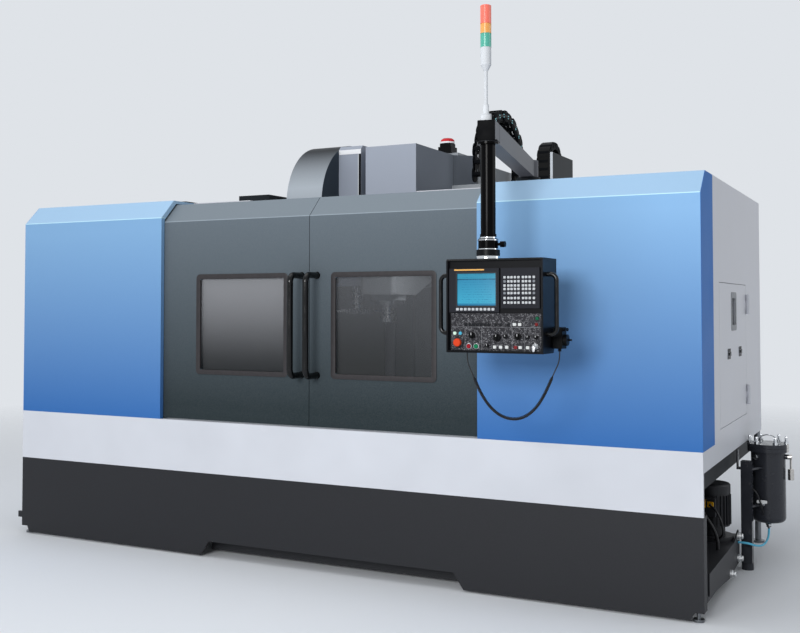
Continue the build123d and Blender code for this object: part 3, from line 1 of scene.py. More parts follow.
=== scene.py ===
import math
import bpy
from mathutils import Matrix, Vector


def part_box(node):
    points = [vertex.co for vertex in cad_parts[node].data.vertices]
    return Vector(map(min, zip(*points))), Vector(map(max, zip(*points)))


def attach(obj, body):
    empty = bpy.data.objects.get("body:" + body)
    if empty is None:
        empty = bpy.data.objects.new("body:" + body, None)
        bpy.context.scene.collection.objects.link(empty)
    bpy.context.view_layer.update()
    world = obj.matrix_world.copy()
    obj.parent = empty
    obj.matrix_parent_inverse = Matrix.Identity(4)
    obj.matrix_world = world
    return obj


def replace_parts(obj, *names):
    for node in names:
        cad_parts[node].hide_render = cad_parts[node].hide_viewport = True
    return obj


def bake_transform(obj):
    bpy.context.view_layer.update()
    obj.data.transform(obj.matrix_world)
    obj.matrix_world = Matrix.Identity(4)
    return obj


bl_info = {
    "name": "Machining Center Finishes",
    "version": (1, 0, 0),
    "blender": (4, 5, 0),
    "location": "View3D > Sidebar > Machining Center",
    "description": "Paints, seals, control panel, cord and studio for an enclosed machining center",
    "category": "Object",
}

import bmesh
import bpy
import numpy as np
from bpy.props import FloatProperty, FloatVectorProperty, PointerProperty
from bpy.types import Operator, Panel, PropertyGroup
from mathutils import Vector

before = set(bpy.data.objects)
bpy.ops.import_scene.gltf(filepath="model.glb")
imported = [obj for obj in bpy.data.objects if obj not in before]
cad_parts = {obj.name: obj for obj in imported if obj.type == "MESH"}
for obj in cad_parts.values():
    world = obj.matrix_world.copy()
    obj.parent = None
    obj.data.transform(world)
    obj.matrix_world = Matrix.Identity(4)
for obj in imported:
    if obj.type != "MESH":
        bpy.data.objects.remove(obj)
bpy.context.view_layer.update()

MM = 0.001
CREST = 122 * MM  # height of the folded top edge of the covers and the doors
SIDE_FACE = 2300 * MM  # outer face of the right side panel and its service door
RIGHT, BACK, UP = np.eye(3)


def box_of(node):
    """Lowest and highest corner of a frame node as arrays."""
    low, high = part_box(node)
    return np.array(low), np.array(high)


def linear(code):
    """Linear red, green and blue of an sRGB hex code. A colour given as three numbers is linear already."""
    if not isinstance(code, str):
        return tuple(code)
    parts = [int(code[i : i + 2], 16) / 255 for i in (1, 3, 5)]
    return tuple(c / 12.92 if c <= 0.04045 else ((c + 0.055) / 1.055) ** 2.4 for c in parts)


def mm(*values):
    """Point or vector whose values are given in millimetres."""
    return np.array(values) * MM


def colour(name, description, code):
    """Colour property whose default is an sRGB hex code."""
    return FloatVectorProperty(
        name=name, description=description, subtype="COLOR", size=3, min=0.0, max=1.0, default=linear(code)
    )


def length(name, description, metres):
    """Length property in metres."""
    return FloatProperty(name=name, description=description, unit="LENGTH", default=metres, min=0.0)


class PaintSettings(PropertyGroup):
    """Paint colours of the sheet metal."""

    # The high and low colours paint light and shade: covers and doors lighter towards the top, the magazine's cover
    # lighter on its lower face.
    cover_high: colour("Cover, high", "Blue of the covers near their top edge", "#7ba4cb")
    cover_low: colour("Cover, low", "Blue of the covers above the white band", "#2f66a8")
    door_high: colour("Door, high", "Grey of the doors near their top edge", "#616b73")
    door_low: colour("Door, low", "Grey of the doors near their foot", "#222d31")
    band: colour("Band", "White of the band under the doors", "#cbced5")
    skirt: colour("Skirt", "Charcoal of the base skirt", "#212226")
    side: colour("Side panels", "Light grey of the side panels and the cabinet", "#cdcfd6")
    silver: colour("Head cover", "Silver grey of the head cover and the tool changer", "#949ba8")
    drum_high: colour("Magazine, high", "Grey of the tool magazine's cover at its top", "#212529")
    drum_low: colour("Magazine, low", "Grey of the tool magazine's cover above the roof", "#a7afb7")


class GlassSettings(PropertyGroup):
    """The door windows."""

    # The panes' top colours are the smoke tint with a painted reflection on it, paler on the left pane than on the
    # right.
    tint_and_reflection_left: colour("Tint, left", "Smoke tint of the left pane near its top edge", "#999a9e")
    tint_and_reflection_right: colour("Tint, right", "Smoke tint of the right pane near its top edge", "#5e6064")
    tint_low: colour("Tint, low", "Smoke tint of the panes near their foot", "#171b1e")
    seal_crown: length("Seal crown", "How far the rubber seal stands off the door", 1.7 * MM)


class CordSettings(PropertyGroup):
    """Curly cord of the hand-held pulse unit."""

    wire: length("Wire", "Diameter of the cord itself", 6 * MM)
    pitch: length("Pitch", "Distance from one turn of the curl to the next", 7.6 * MM)
    curl: length("Curl", "Outer diameter of the curly stretch", 17.5 * MM)


class StudioSettings(PropertyGroup):
    """Camera and lamps."""

    azimuth: FloatProperty(
        name="Azimuth", description="Camera's turn about the vertical", subtype="ANGLE", default=math.radians(26.73)
    )
    pitch: FloatProperty(
        name="Pitch", description="Camera's tilt above the horizon", subtype="ANGLE", default=math.radians(1.945)
    )
    lens: FloatProperty(
        name="Lens", description="Focal length on a 36 mm wide frame", unit="CAMERA", default=46.49
    )
    floor: colour("Floor", "Pale grey of the studio floor", "#dfe2e6")
    fill: FloatProperty(name="Fill", description="Strength of the surrounding light", default=0.62, min=0.0)


class CenterSettings(PropertyGroup):
    """All settings of the machining center."""

    paint: PointerProperty(type=PaintSettings)
    glass: PointerProperty(type=GlassSettings)
    cord: PointerProperty(type=CordSettings)
    studio: PointerProperty(type=StudioSettings)


# Nodes of materials. Object coordinates are the machine's own metres on every piece.


def add_node(tree, kind, inputs=None, out=0, **settings):
    """Add one node and give back one of its outputs. Settings are the node's attributes; inputs map its
    sockets to a value, to a colour or to another node's output."""
    made = tree.nodes.new(kind)
    for name, value in settings.items():
        setattr(made, name, value)
    for name, value in (inputs or {}).items():
        socket = made.inputs[name]
        if isinstance(value, bpy.types.NodeSocket):
            tree.links.new(value, socket)
        else:
            socket.default_value = (*linear(value), 1.0) if socket.type == "RGBA" else value
    return made.outputs[out]


def cloudy(tree, size, low=0.0, high=1.0, detail=2.0, stretch=(1, 1, 1), edge=(0.3, 0.7)):
    """Noise whose blobs are about size metres across, drawn out along an axis where stretch is over 1. What
    lies between the edges runs from low to high."""
    place = add_node(tree, "ShaderNodeTexCoord", out="Object")
    scaled = add_node(tree, "ShaderNodeMapping", {"Vector": place, "Scale": tuple(1 / (size * s) for s in stretch)})
    grain = add_node(tree, "ShaderNodeTexNoise", {"Vector": scaled, "Scale": 1.0, "Detail": detail})
    limits = {"From Min": edge[0], "From Max": edge[1], "To Min": low, "To Max": high}
    return add_node(tree, "ShaderNodeMapRange", {"Value": grain, **limits})


def reach(tree, axis, start, end, low=0.0, high=1.0, source="Object", **settings):
    """Ramp along the axis X, Y or Z that runs from low at the start to high at the end."""
    place = add_node(tree, "ShaderNodeTexCoord", out=source)
    along = add_node(tree, "ShaderNodeSeparateXYZ", {"Vector": place}, axis)
    limits = {"From Min": start, "From Max": end, "To Min": low, "To Max": high}
    return add_node(tree, "ShaderNodeMapRange", {"Value": along, **limits}, **settings)


def painted(tree, surface, base, *layers):
    """Lay colours over a base, each by its share, as the surface's colour; give back the last."""
    for share, code in layers:
        base = add_node(tree, "ShaderNodeMix", {"Factor": share, 6: base, 7: code}, 2, data_type="RGBA")
    tree.links.new(base, surface.inputs["Base Color"])
    return base


def new_finish(name, code, roughness, metallic=0.0, haze=None, tones=None, relief=None, **shader):
    """Material with a Principled shader; further shader settings go by their socket names. Haze is the size
    of the clouds in the roughness, how far it falls and rises there, and the clouds' detail and stretch. Tones
    are the size and the detail of clouds in the colour, and the share of it that the darker ones keep.
    Relief is the size, the depth in metres and the strength of the skin's bosses, their detail and stretch."""
    made = bpy.data.materials.new(name)
    made.use_nodes = True
    tree = made.node_tree
    surface = tree.nodes["Principled BSDF"]
    base = linear(code)
    made.diffuse_color = surface.inputs["Base Color"].default_value = (*base, 1.0)
    for socket, value in {"Roughness": roughness, "Metallic": metallic, **shader}.items():
        surface.inputs[socket.replace("_", " ")].default_value = value
    if haze:
        size, fall, rise, *more = haze
        cloud = cloudy(tree, size, roughness - fall, roughness + rise, *more)
        tree.links.new(cloud, surface.inputs["Roughness"])
    if tones:
        size, detail, kept = tones
        painted(tree, surface, [c * kept for c in base], (cloudy(tree, size, detail=detail), base))
    if relief:
        size, depth, strength, *more = relief
        height = cloudy(tree, size, 0.0, 1.0, *more, edge=(0.0, 1.0))
        bump = add_node(tree, "ShaderNodeBump", {"Height": height, "Distance": depth, "Strength": strength})
        tree.links.new(bump, surface.inputs["Normal"])
    return made, tree, surface


# Finishes


def powder_coat(name, code, roughness=0.42, gloss=0.35):
    """Powder coated sheet steel: satin, with a faint orange peel. The real peel is 1 mm wide and is drawn
    as 6 mm, so that it shows from this far, and the sheen varies over about 0.4 m."""
    return new_finish(
        name, code, roughness, haze=(0.4, 0.05, 0.05), tones=(0.4, 2.0, 0.93),
        relief=(6 * MM, 0.12 * MM, 0.35), Specular_IOR_Level=gloss,
    )[0]


def graded_metallic(name, high, low, z_low, z_high, roughness=0.36, crest=None, ends=(), end_shade=None):
    """Metallic paint with fine flakes, whose colour runs from the low colour at z_low to the high colour at z_high:
    painted light and shade, lighter where the light falls. The real flakes are 0.05 mm and are drawn as 2 mm.
    A crest is the height of a fold, above which the sheet is paler, a painted lit chamfer, and its colour; the
    fold itself gets a painted highlight over 3 mm. Ends are the places along X of end faces in painted shade,
    each with the way it faces."""
    made, tree, surface = new_finish(
        name, low, roughness, 0.05, haze=(0.5, 0.04, 0.04), relief=(5 * MM, 0.08 * MM, 0.3),
        Specular_IOR_Level=0.01,
    )
    # Painted light and shade: the colour runs from low at z_low to high at z_high.
    layers = [(reach(tree, "Z", z_low, z_high), high)]
    if crest:
        fold, code = crest
        # Painted highlight: a bright line along the fold, under a paler painted lit chamfer.
        rise = reach(tree, "Z", fold - 3.5 * MM, fold - 2 * MM, 0.0, 0.5)
        fall = reach(tree, "Z", fold + 2 * MM, fold + 3.5 * MM, 0.5, 0.0)
        fold_highlight = add_node(tree, "ShaderNodeMath", {0: rise, 1: fall}, operation="MINIMUM")
        bright = [min(1.0, c * 1.9 + 0.03) for c in linear(code)]
        layers += [(reach(tree, "Z", fold - 2 * MM, fold), code), (fold_highlight, bright)]
    # Painted shade on the end faces.
    layers += [(reach(tree, "X", x - way * 2 * MM, x - way * 1 * MM), end_shade) for x, way in ends]
    layers.append((cloudy(tree, 2 * MM, 0.0, 0.03, 1.0), (1.0, 1.0, 1.0)))
    painted(tree, surface, low, *layers)
    return made


def textured_paint(name, code, roughness=0.5):
    """Textured enamel, as on bases and motors: a fine pebbled skin. Pebbles of 0.5 mm are drawn as 4 mm."""
    return new_finish(
        name, code, roughness, tones=(4 * MM, 3.0, 0.8), relief=(4 * MM, 0.4 * MM, 0.4, 3.0),
        Specular_IOR_Level=0.3,
    )[0]


def stove_enamel(name, code="#060708", roughness=0.14, gloss=0.3):
    """Stove enamel on tube and box section: glossy, a little uneven over 60 mm."""
    return new_finish(
        name, code, roughness, haze=(60 * MM, 0.05, 0.1), relief=(4 * MM, 0.05 * MM, 0.3),
        Specular_IOR_Level=gloss,
    )[0]


def brushed_steel(name, code, roughness, stretch=(40, 1, 1)):
    """Ground or brushed steel: fine lines along one axis. The lines are 0.1 mm apart and are drawn wider."""
    line = 0.6 * MM
    return new_finish(
        name, code, roughness, 1.0, haze=(line, 0.1, 0.12, 2.0, stretch),
        relief=(line, 0.03 * MM, 0.3, 2.0, stretch),
    )[0]


def zinc_plate(name, code="#c4c6c8", roughness=0.24):
    """Zinc plated small parts: bright, with cloudy passivation 20 mm across."""
    return new_finish(
        name, code, roughness, 1.0, haze=(20 * MM, 0.06, 0.1, 3.0), tones=(20 * MM, 3.0, 0.85)
    )[0]


def chrome_plate(name):
    """Chrome on turned steel: a mirror with hairline turning marks round it, 1 mm apart."""
    return new_finish(name, "#d9dbdd", 0.08, 1.0, relief=(1 * MM, 0.02 * MM, 0.2, 1.0, (8, 8, 1)))[0]


def cast_enamel(name, code="#8d9297", roughness=0.45):
    """Enamelled casting: smooth filler over sand-cast iron, with slow waves 60 mm across."""
    return new_finish(
        name, code, roughness, haze=(0.2, 0.06, 0.06), relief=(60 * MM, 1.0 * MM, 0.3, 3.0)
    )[0]


def moulded_plastic(name, code, roughness=0.4, gloss=0.06):
    """Injection moulded ABS with a spark-eroded texture. Its pits are 0.2 mm and are drawn as 1.6 mm."""
    return new_finish(
        name, code, roughness, haze=(50 * MM, 0.04, 0.06), relief=(1.6 * MM, 0.08 * MM, 0.4),
        Specular_IOR_Level=gloss,
    )[0]


def rubber(name, code, roughness=0.62):
    """Vulcanised rubber: matt, with a dusty bloom 30 mm across."""
    made, tree, surface = new_finish(
        name, code, roughness, relief=(1.5 * MM, 0.05 * MM, 0.3), Specular_IOR_Level=0.35
    )
    dusty = [min(1.0, c * 1.6 + 0.01) for c in linear(code)]
    painted(tree, surface, code, (cloudy(tree, 30 * MM, 0.0, 0.4, 4.0), dusty))
    return made


def smoked_glass(name, high, low, z_low, z_high, cover=0.5):
    """Laminated safety glass with a smoke film: clear gloss over a dark see-through body that looks
    paler near its top, where it mirrors the hall's lights."""
    made, tree, surface = new_finish(
        name, low, 0.06, haze=(0.25, 0.02, 0.06), relief=(0.12, 0.4 * MM, 0.1, 1.0),
        Alpha=cover, Coat_Weight=0.3, Coat_Roughness=0.04,
    )
    painted(tree, surface, low, (reach(tree, "Z", z_low, z_high, interpolation_type="SMOOTHSTEP"), high))
    return made


def lens_plastic(name, low, high, steps):
    """Translucent polycarbonate lenses, faintly lit. Each step is its foot above the lowest one and its
    colour."""
    made, tree, surface = new_finish(
        name, steps[0][1], 0.22, Subsurface_Weight=0.25, Subsurface_Radius=(0.02, 0.02, 0.02),
        Emission_Strength=0.12,
    )
    colours = add_node(tree, "ShaderNodeValToRGB", {"Fac": reach(tree, "Z", low, high)})
    ramp = colours.node.color_ramp
    ramp.interpolation = "CONSTANT"
    for n, (foot, code) in enumerate(steps):
        mark = ramp.elements[n] if n < 2 else ramp.elements.new(0.5)
        mark.position = foot / (high - low)
        mark.color = (*linear(code), 1.0)
    for socket in ("Base Color", "Emission Color"):
        tree.links.new(colours, surface.inputs[socket])
    return made


def lit_screen(name, low, high):
    """Liquid crystal screen: a cyan page with a darker heading, 13 rows of marks and three column rules."""
    made, tree, surface = new_finish(name, "#3f9fc2", 0.4, Specular_IOR_Level=0.2, Emission_Strength=0.16)
    across = reach(tree, "X", low[0], high[0])
    up = reach(tree, "Z", low[2], high[2])

    def between(value, low, high):
        """1 where a value lies between low and high, and 0 elsewhere."""
        over = add_node(tree, "ShaderNodeMath", {0: value, 1: low}, operation="GREATER_THAN")
        under = add_node(tree, "ShaderNodeMath", {0: value, 1: high}, operation="LESS_THAN")
        return add_node(tree, "ShaderNodeMath", {0: over, 1: under}, operation="MULTIPLY")

    rows = add_node(tree, "ShaderNodeMath", {0: up, 1: 13.0}, operation="MULTIPLY")
    rows = add_node(tree, "ShaderNodeMath", {0: rows}, operation="FRACT")
    words = cloudy(tree, 5 * MM, 0.0, 1.0, 1.0, (1, 1, 0.4), (0.0, 1.0))
    ink = between(across, 0.12, 0.9)
    for share in (between(rows, 0.35, 0.62), between(words, 0.52, 1.0)):
        ink = add_node(tree, "ShaderNodeMath", {0: ink, 1: share}, operation="MULTIPLY")
    page = painted(
        tree, surface, "#3594b0", (up, "#246d8f"), (between(up, 0.84, 1.0), "#2a7d98"),
        (between(up, 0.80, 0.835), "#14506a"), (between(up, 0.0, 0.07), "#226f92"), (ink, "#1d6c8c"),
        *[(between(across, rule, rule + 0.006), "#2a7f9f") for rule in (0.30, 0.55, 0.80)],
    )
    tree.links.new(page, surface.inputs["Emission Color"])
    return made


def speckled_legend(name, code="#242428"):
    """Printed polyester overlay of the operator panel: near black with small pale legends, no letters. Each
    mark is a short dash about 2 mm long, in clusters about 14 mm across."""
    made, tree, surface = new_finish(
        name, code, 0.4, relief=(1.4 * MM, 0.05 * MM, 0.3), Specular_IOR_Level=0.1
    )
    dashes = cloudy(tree, 1.7 * MM, 0.0, 1.0, 0.0, (1.5, 1, 0.8), (0.62, 0.66))
    clusters = cloudy(tree, 14 * MM, 0.15, 1.0, 1.0, edge=(0.46, 0.54))
    marked = add_node(tree, "ShaderNodeMath", {0: dashes, 1: clusters}, operation="MULTIPLY")
    painted(tree, surface, code, (marked, "#9c9ca0"))
    return made


def vessel_paint(name, code="#2e3036"):
    """The filter's vessel is glossy enamel, and the gauge line on its right is bare steel."""
    made, tree, surface = new_finish(
        name, code, 0.2, haze=(60 * MM, 0.05, 0.1), relief=(4 * MM, 0.05 * MM, 0.3),
        Specular_IOR_Level=0.3,
    )
    bare = reach(tree, "X", 2.535, 2.536)  # the vessel ends and the line begins
    painted(tree, surface, code, (bare, "#c5c2bd"))
    tree.links.new(bare, surface.inputs["Metallic"])
    return made


def guard_paint(name, code="#1d2125"):
    """The guard plate and the roof's boxes are slate grey. The chain beside the plate is black, and the
    plate's front flange is pale grey."""
    made, tree, surface = new_finish(
        name, code, 0.4, relief=(6 * MM, 0.12 * MM, 0.35), Specular_IOR_Level=0.08
    )
    # The chain lies behind Y = 0.52 m and left of X = 0.996 m, and the flange is the plate's first 29 mm.
    behind = reach(tree, "Y", 0.52, 0.53)
    beside = reach(tree, "X", 0.996, 0.997)
    chain = add_node(tree, "ShaderNodeMath", {0: behind, 1: beside}, operation="SUBTRACT", use_clamp=True)
    flange = behind
    for limit in (reach(tree, "Y", 0.5492, 0.5494, 1.0, 0.0), reach(tree, "X", 0.986, 0.987)):
        flange = add_node(tree, "ShaderNodeMath", {0: flange, 1: limit}, operation="MULTIPLY")
    painted(tree, surface, code, (chain, "#08090a"), (flange, "#c3c8ce"))
    return made


def arm_paint(name, code="#65676c"):
    """The pendant's arm is satin grey down to its underside, 110 mm below its top, and its post is gloss
    black."""
    made, tree, surface = new_finish(
        name, code, 0.3, relief=(5 * MM, 0.06 * MM, 0.3), Specular_IOR_Level=0.05
    )
    under = box_of("pendant_arm")[1][2] - 110 * MM
    painted(tree, surface, "#050506", (reach(tree, "Z", under - 1 * MM, under), code))
    tree.links.new(reach(tree, "Z", under - 1 * MM, under, 0.16, 0.36), surface.inputs["Roughness"])
    return made


# Shapes. Places are in metres; sizes, radii, depths and profiles are in millimetres.


def unit(vector):
    """Vector of length one."""
    vector = np.asarray(vector, float)
    return vector / np.linalg.norm(vector)


def grid(points, wrap_rows=False, wrap_columns=False):
    """Vertices and quads over an array of points (rows, columns, 3), joined round where it wraps."""
    rows, columns = points.shape[:2]
    i, j = np.meshgrid(
        np.arange(rows if wrap_rows else rows - 1), np.arange(columns if wrap_columns else columns - 1), indexing="ij"
    )
    i_next, j_next = (i + 1) % rows, (j + 1) % columns
    quads = np.stack([i * columns + j, i_next * columns + j, i_next * columns + j_next, i * columns + j_next], -1)
    return points.reshape(-1, 3), quads.reshape(-1, 4).tolist()


def capped(rings):
    """Closed form through rings of points (rings, around, 3): quads between rings and a cap at each end."""
    vertices, faces = grid(rings, wrap_columns=True)
    count, around = rings.shape[:2]
    faces.append(list(range(around)))
    faces.append(list(range((count - 1) * around, count * around)))
    return vertices, faces


def revolved(origin, axis, profile, segments=32, closed=False):
    """Turned form: each profile pair (radius, height) becomes a circle about the axis at that height. Both
    ends are capped, or a closed profile makes a ring."""
    axis = unit(axis)
    first = unit(np.cross(UP if abs(axis[2]) < 0.9 else RIGHT, axis))
    second = np.cross(axis, first)
    angle = np.linspace(0, 2 * np.pi, segments, endpoint=False)
    round_about = np.outer(np.cos(angle), first) + np.outer(np.sin(angle), second)
    profile = np.array(profile) * MM
    rings = np.asarray(origin) + profile[:, None, 0:1] * round_about[None] + profile[:, None, 1:2] * axis
    return grid(rings, True, True) if closed else capped(rings)


def outline_rings(centre, size, radius, least, levels, across, up, steps):
    """Rings round a rectangle whose corners are quarter circles: each level pair (inset, height) draws the
    outline in by inset, down to the least radius, and lifts it by height along across x up."""
    across, up = unit(across), unit(up)
    quarter = np.linspace(0, np.pi / 2, steps)
    angle = (quarter[None] + np.arange(4)[:, None] * np.pi / 2).ravel()
    side = np.repeat([[1, 1], [-1, 1], [-1, -1], [1, -1]], steps, axis=0)
    rings = []
    for inset, level in levels:
        corner = max(radius - inset, least)
        middle = side * np.array([size[0] / 2 - inset - corner, size[1] / 2 - inset - corner])
        flat = (middle + corner * np.stack([np.cos(angle), np.sin(angle)], 1)) * MM
        rings.append(np.asarray(centre) + flat @ np.array([across, up]) + level * MM * np.cross(across, up))
    return np.array(rings)


def plate(centre, size, depth, radius, edge, across=RIGHT, up=UP, steps=4):
    """Plate with rounded corners and a rounded front rim: the outline is drawn in by the edge along a
    quarter circle as it rises by the depth along across x up, which is towards the operator if not given."""
    rise = np.linspace(0, np.pi / 2, 4)
    levels = [(0.0, 0.0), *[(edge * (1 - math.cos(a)), depth - edge + edge * math.sin(a)) for a in rise]]
    return capped(outline_rings(centre, size, radius, radius * 0.3, levels, across, up, steps))


def key_cap(centre, width, tall, depth=3.4):
    """Key cap with rounded corners, standing towards the operator."""
    return plate(centre, (width, tall), depth, 2, 0.8)


def framed_seal(centre, size, radius, profile, across=RIGHT, up=UP):
    """Seal round a window: each profile pair (inset, height) follows the rounded outline, drawn in by inset."""
    return grid(outline_rings(centre, size, radius, 4, profile, across, up, 8), True, True)


def square_to(path, guide):
    """Two unit vectors square to a path at each of its points, measured from the guide's flattest side."""
    tangent = np.gradient(path, axis=0)
    tangent /= np.linalg.norm(tangent, axis=1)[:, None]
    first = np.cross(tangent, np.linalg.svd(guide - guide.mean(0))[2][2])
    first /= np.linalg.norm(first, axis=1)[:, None]
    return first, np.cross(tangent, first)


def tube(path, radius, sides=12):
    """Round tube along points: circles in the plane square to the path."""
    first, second = square_to(path, path)
    angle = np.linspace(0, 2 * np.pi, sides, endpoint=False)[None, :, None]
    return capped(path[:, None] + radius * MM * (np.cos(angle) * first[:, None] + np.sin(angle) * second[:, None]))


def rounded_path(points, rounds=4):
    """Smooth line in metres through points in millimetres: each inner corner gives way to two points, a
    quarter of the way along the runs on both sides of it, time after time; the ends stay."""
    path = np.array(points) * MM
    for _ in range(rounds):
        first = 0.75 * path[:-1] + 0.25 * path[1:]
        second = 0.25 * path[:-1] + 0.75 * path[1:]
        path = np.concatenate([path[:1], np.stack([first, second], 1).reshape(-1, 3)[1:-1], path[-1:]])
    return path


def piece(name, parts, finish, body, smooth=True):
    """Join forms into one piece, close its seams, turn its faces outwards and let it ride on a body."""
    vertices, faces, start = [], [], 0
    for points, quads in parts:
        vertices.append(points)
        faces += [[start + i for i in face] for face in quads]
        start += len(points)
    data = bpy.data.meshes.new(name)
    data.from_pydata(np.concatenate(vertices).tolist(), [], faces)
    work = bmesh.new()
    work.from_mesh(data)
    bmesh.ops.remove_doubles(work, verts=work.verts, dist=0.01 * MM)
    bmesh.ops.recalc_face_normals(work, faces=work.faces)
    work.to_mesh(data)
    work.free()
    made = bpy.data.objects.new(name, data)
    bpy.context.scene.collection.objects.link(made)
    data.materials.append(finish)
    if smooth:
        data.shade_smooth()
        data.set_sharp_from_angle(angle=math.radians(35))
    if body:
        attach(made, body)
    return made


class Center_OT_finishes(Operator):
    """Give every piece of the frame its real finish, with painted light and shade on the covers, doors, hood, magazine,
    inner guard and panes
    """

    bl_idname = "center.finishes"
    bl_label = "Frame finishes"

    def execute(self, context):
        paint = context.scene.machining_center.paint
        panes = context.scene.machining_center.glass
        band_top = box_of("lower_band")[1][2]
        cover_top = box_of("left_cover")[1][2]
        cover_end = box_of("right_cover")[1][0]
        door_top = box_of("left_door_panel")[1][2]
        hood_low, hood_high = box_of("head_cover")
        drum_high = box_of("magazine_cover")[1]
        guard_foot = box_of("rear_panels")[0][2]
        lens_foot, lens_top = (corner[2] for corner in box_of("tower_lenses"))
        # Over the height of a pane the colour runs from the tint at its foot to a painted reflection of the lights at
        # its top.
        fade = (box_of("left_door_glass")[0][2] - 20 * MM, box_of("left_door_glass")[1][2])
        for finish, *nodes in (
            (
                # Painted light and shade on the blue covers: lighter towards the top, a painted lit chamfer and fold
                # highlight, and painted shade on their end faces.
                graded_metallic(
                    "satin metallic enamel, blue", paint.cover_high, paint.cover_low, band_top, cover_top - 0.2,
                    crest=(cover_top - CREST, "#9bbcd9"), ends=((cover_end, 1), (-cover_end, -1)), end_shade="#2f70bb",
                ),
                "left_cover", "right_cover",
            ),
            (
                # Painted light and shade on the doors: lighter towards the top, with a painted lit chamfer and fold
                # highlight.
                graded_metallic(
                    "satin metallic enamel, graphite", paint.door_high, paint.door_low, band_top + 0.1,
                    cover_top - 0.05, crest=(door_top - CREST, "#747e86"),
                ),
                "left_door_panel", "right_door_panel",
            ),
            (powder_coat("powder coat, white", paint.band), "lower_band"),
            (
                powder_coat("powder coat, light grey", paint.side), "left_side_panel", "right_side_panel",
                "side_service_door", "rear_panels", "roof_panels", "electrical_cabinet", "cabinet_door",
            ),
            (textured_paint("textured enamel, charcoal", paint.skirt), "base_skirt", "coolant_pump"),
            (
                powder_coat("satin enamel, silver grey", paint.silver, 0.34, 0.12), "tool_changer_box",
                "air_service_unit",
            ),
            (
                # The hood's right end face is in painted shade.
                graded_metallic(
                    "satin enamel, silver grey hood", "#9da4b1", "#9da4b1", hood_low[2], hood_high[2], 0.34,
                    ends=((hood_high[0], 1),), end_shade="#777e88",
                ),
                "head_cover",
            ),
            (
                # Painted highlight on the magazine cover's lower face, with painted shade towards its top and on its
                # flat end face.
                graded_metallic(
                    "satin enamel, dark grey", paint.drum_high, paint.drum_low, drum_high[2] - 0.33,
                    drum_high[2] - 0.05, 0.34, ends=((drum_high[0], 1),), end_shade="#38434e",
                ),
                "magazine_cover",
            ),
            (cast_enamel("casting enamel, grey"), "bed_casting", "column", "saddle", "head_casting"),
            (
                # Below the rear panels' foot the inner guard is painted dark: painted shade.
                graded_metallic(
                    "stoved enamel, inner guard", "#8f908e", "#2b2e31", guard_foot - 2 * MM, guard_foot, 0.35
                ),
                "inner_guard",
            ),
            (brushed_steel("ground steel", "#9c9fa2", 0.3), "table", "spindle_nose", "door_rails"),
            (
                brushed_steel("brushed stainless sheet", "#b3b5b7", 0.34, (1, 60, 1)), "table_way_covers",
                "inner_way_covers", "outer_way_covers",
            ),
            (zinc_plate("phosphated steel", "#7b7e82", 0.36), "leveling_feet"),
            (zinc_plate("zinc plated steel"), "face_mill", "tool_drum", "tool_arm", "key_switch"),
            (stove_enamel("stoved enamel, black"), "left_door_handle", "right_door_handle", "pendant_handles"),
            (powder_coat("satin enamel, black", "#08090d", 0.32, 0.12), "pendant_housing"),
            (arm_paint("stoved enamel, grey arm and black post"), "pendant_arm"),
            (guard_paint("satin enamel, slate grey and black"), "roof_fittings"),
            (
                moulded_plastic("moulded ABS, black", "#0e0f10", 0.3), "handwheel_unit", "handwheel_dial",
                "mode_selector", "feed_override", "spindle_override", "z_motor",
            ),
            (moulded_plastic("moulded ABS, warm grey", "#25262b", 0.42), "control_unit"),
            (speckled_legend("printed overlay, grey"), "operator_panel"),
            (moulded_plastic("moulded ABS, white", "#cbced2", 0.3), "tower_light_pole"),
            (moulded_plastic("glass filled nylon, black", "#101215", 0.45, gloss=0.02), "cable_chain"),
            (rubber("rubber hose, black", "#18181a"), "pump_hoses", "handwheel_cord"),
            (moulded_plastic("moulded cap, dark red", "#8e2029", 0.22), "feed_hold", "main_switch"),
            (moulded_plastic("moulded mushroom cap, orange red", "#cb4325", 0.2), "emergency_stop"),
            (moulded_plastic("moulded cap, green", "#19704a", 0.22), "cycle_start"),
            (vessel_paint("vessel enamel, blue black"), "filter_unit"),
            # Both panes are one glass; the left one's top carries a paler painted reflection than the right one's.
            (smoked_glass("laminated smoke glass, left", panes.tint_and_reflection_left, panes.tint_low, *fade), "left_door_glass"),
            (
                smoked_glass("laminated smoke glass, right", panes.tint_and_reflection_right, panes.tint_low, *fade, 0.38),
                "right_door_glass",
            ),
            (
                lens_plastic(
                    "ribbed polycarbonate lenses", lens_foot, lens_top,
                    ((0.0, "#4fa593"), (70 * MM, "#dd9d55"), (120 * MM, "#e5705f")),
                ),
                "tower_lenses",
            ),
        ):
            for node in nodes:
                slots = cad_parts[node].data.materials
                slots.clear()
                slots.append(finish)
        return {"FINISHED"}


class Center_OT_window_seals(Operator):
    """Rubber seals round the two door windows"""

    bl_idname = "center.window_seals"
    bl_label = "Window seals"

    def execute(self, context):
        crown = context.scene.machining_center.glass.seal_crown / MM
        finish = rubber("extruded seal, brown grey", "#262325", 0.5)
        wall = 29.4
        # The lip at the end of the profile reaches back past the pane.
        profile = [
            (0, 0), (0, crown * 0.7), (1.5, crown), (wall - 2, crown), (wall, crown * 0.6), (wall, -14),
            (wall - 4, -14), (wall - 4, 0),
        ]
        for side in ("left", "right"):
            low, high = box_of(f"{side}_door_glass")
            centre = (low + high) / 2
            centre[1] = box_of(f"{side}_door_panel")[0][1]
            seal = framed_seal(centre, (high - low)[[0, 2]] / MM + 33.4, 26, profile)
            piece(f"{side}_window_seal", [seal], finish, f"{side}_door")
        return {"FINISHED"}


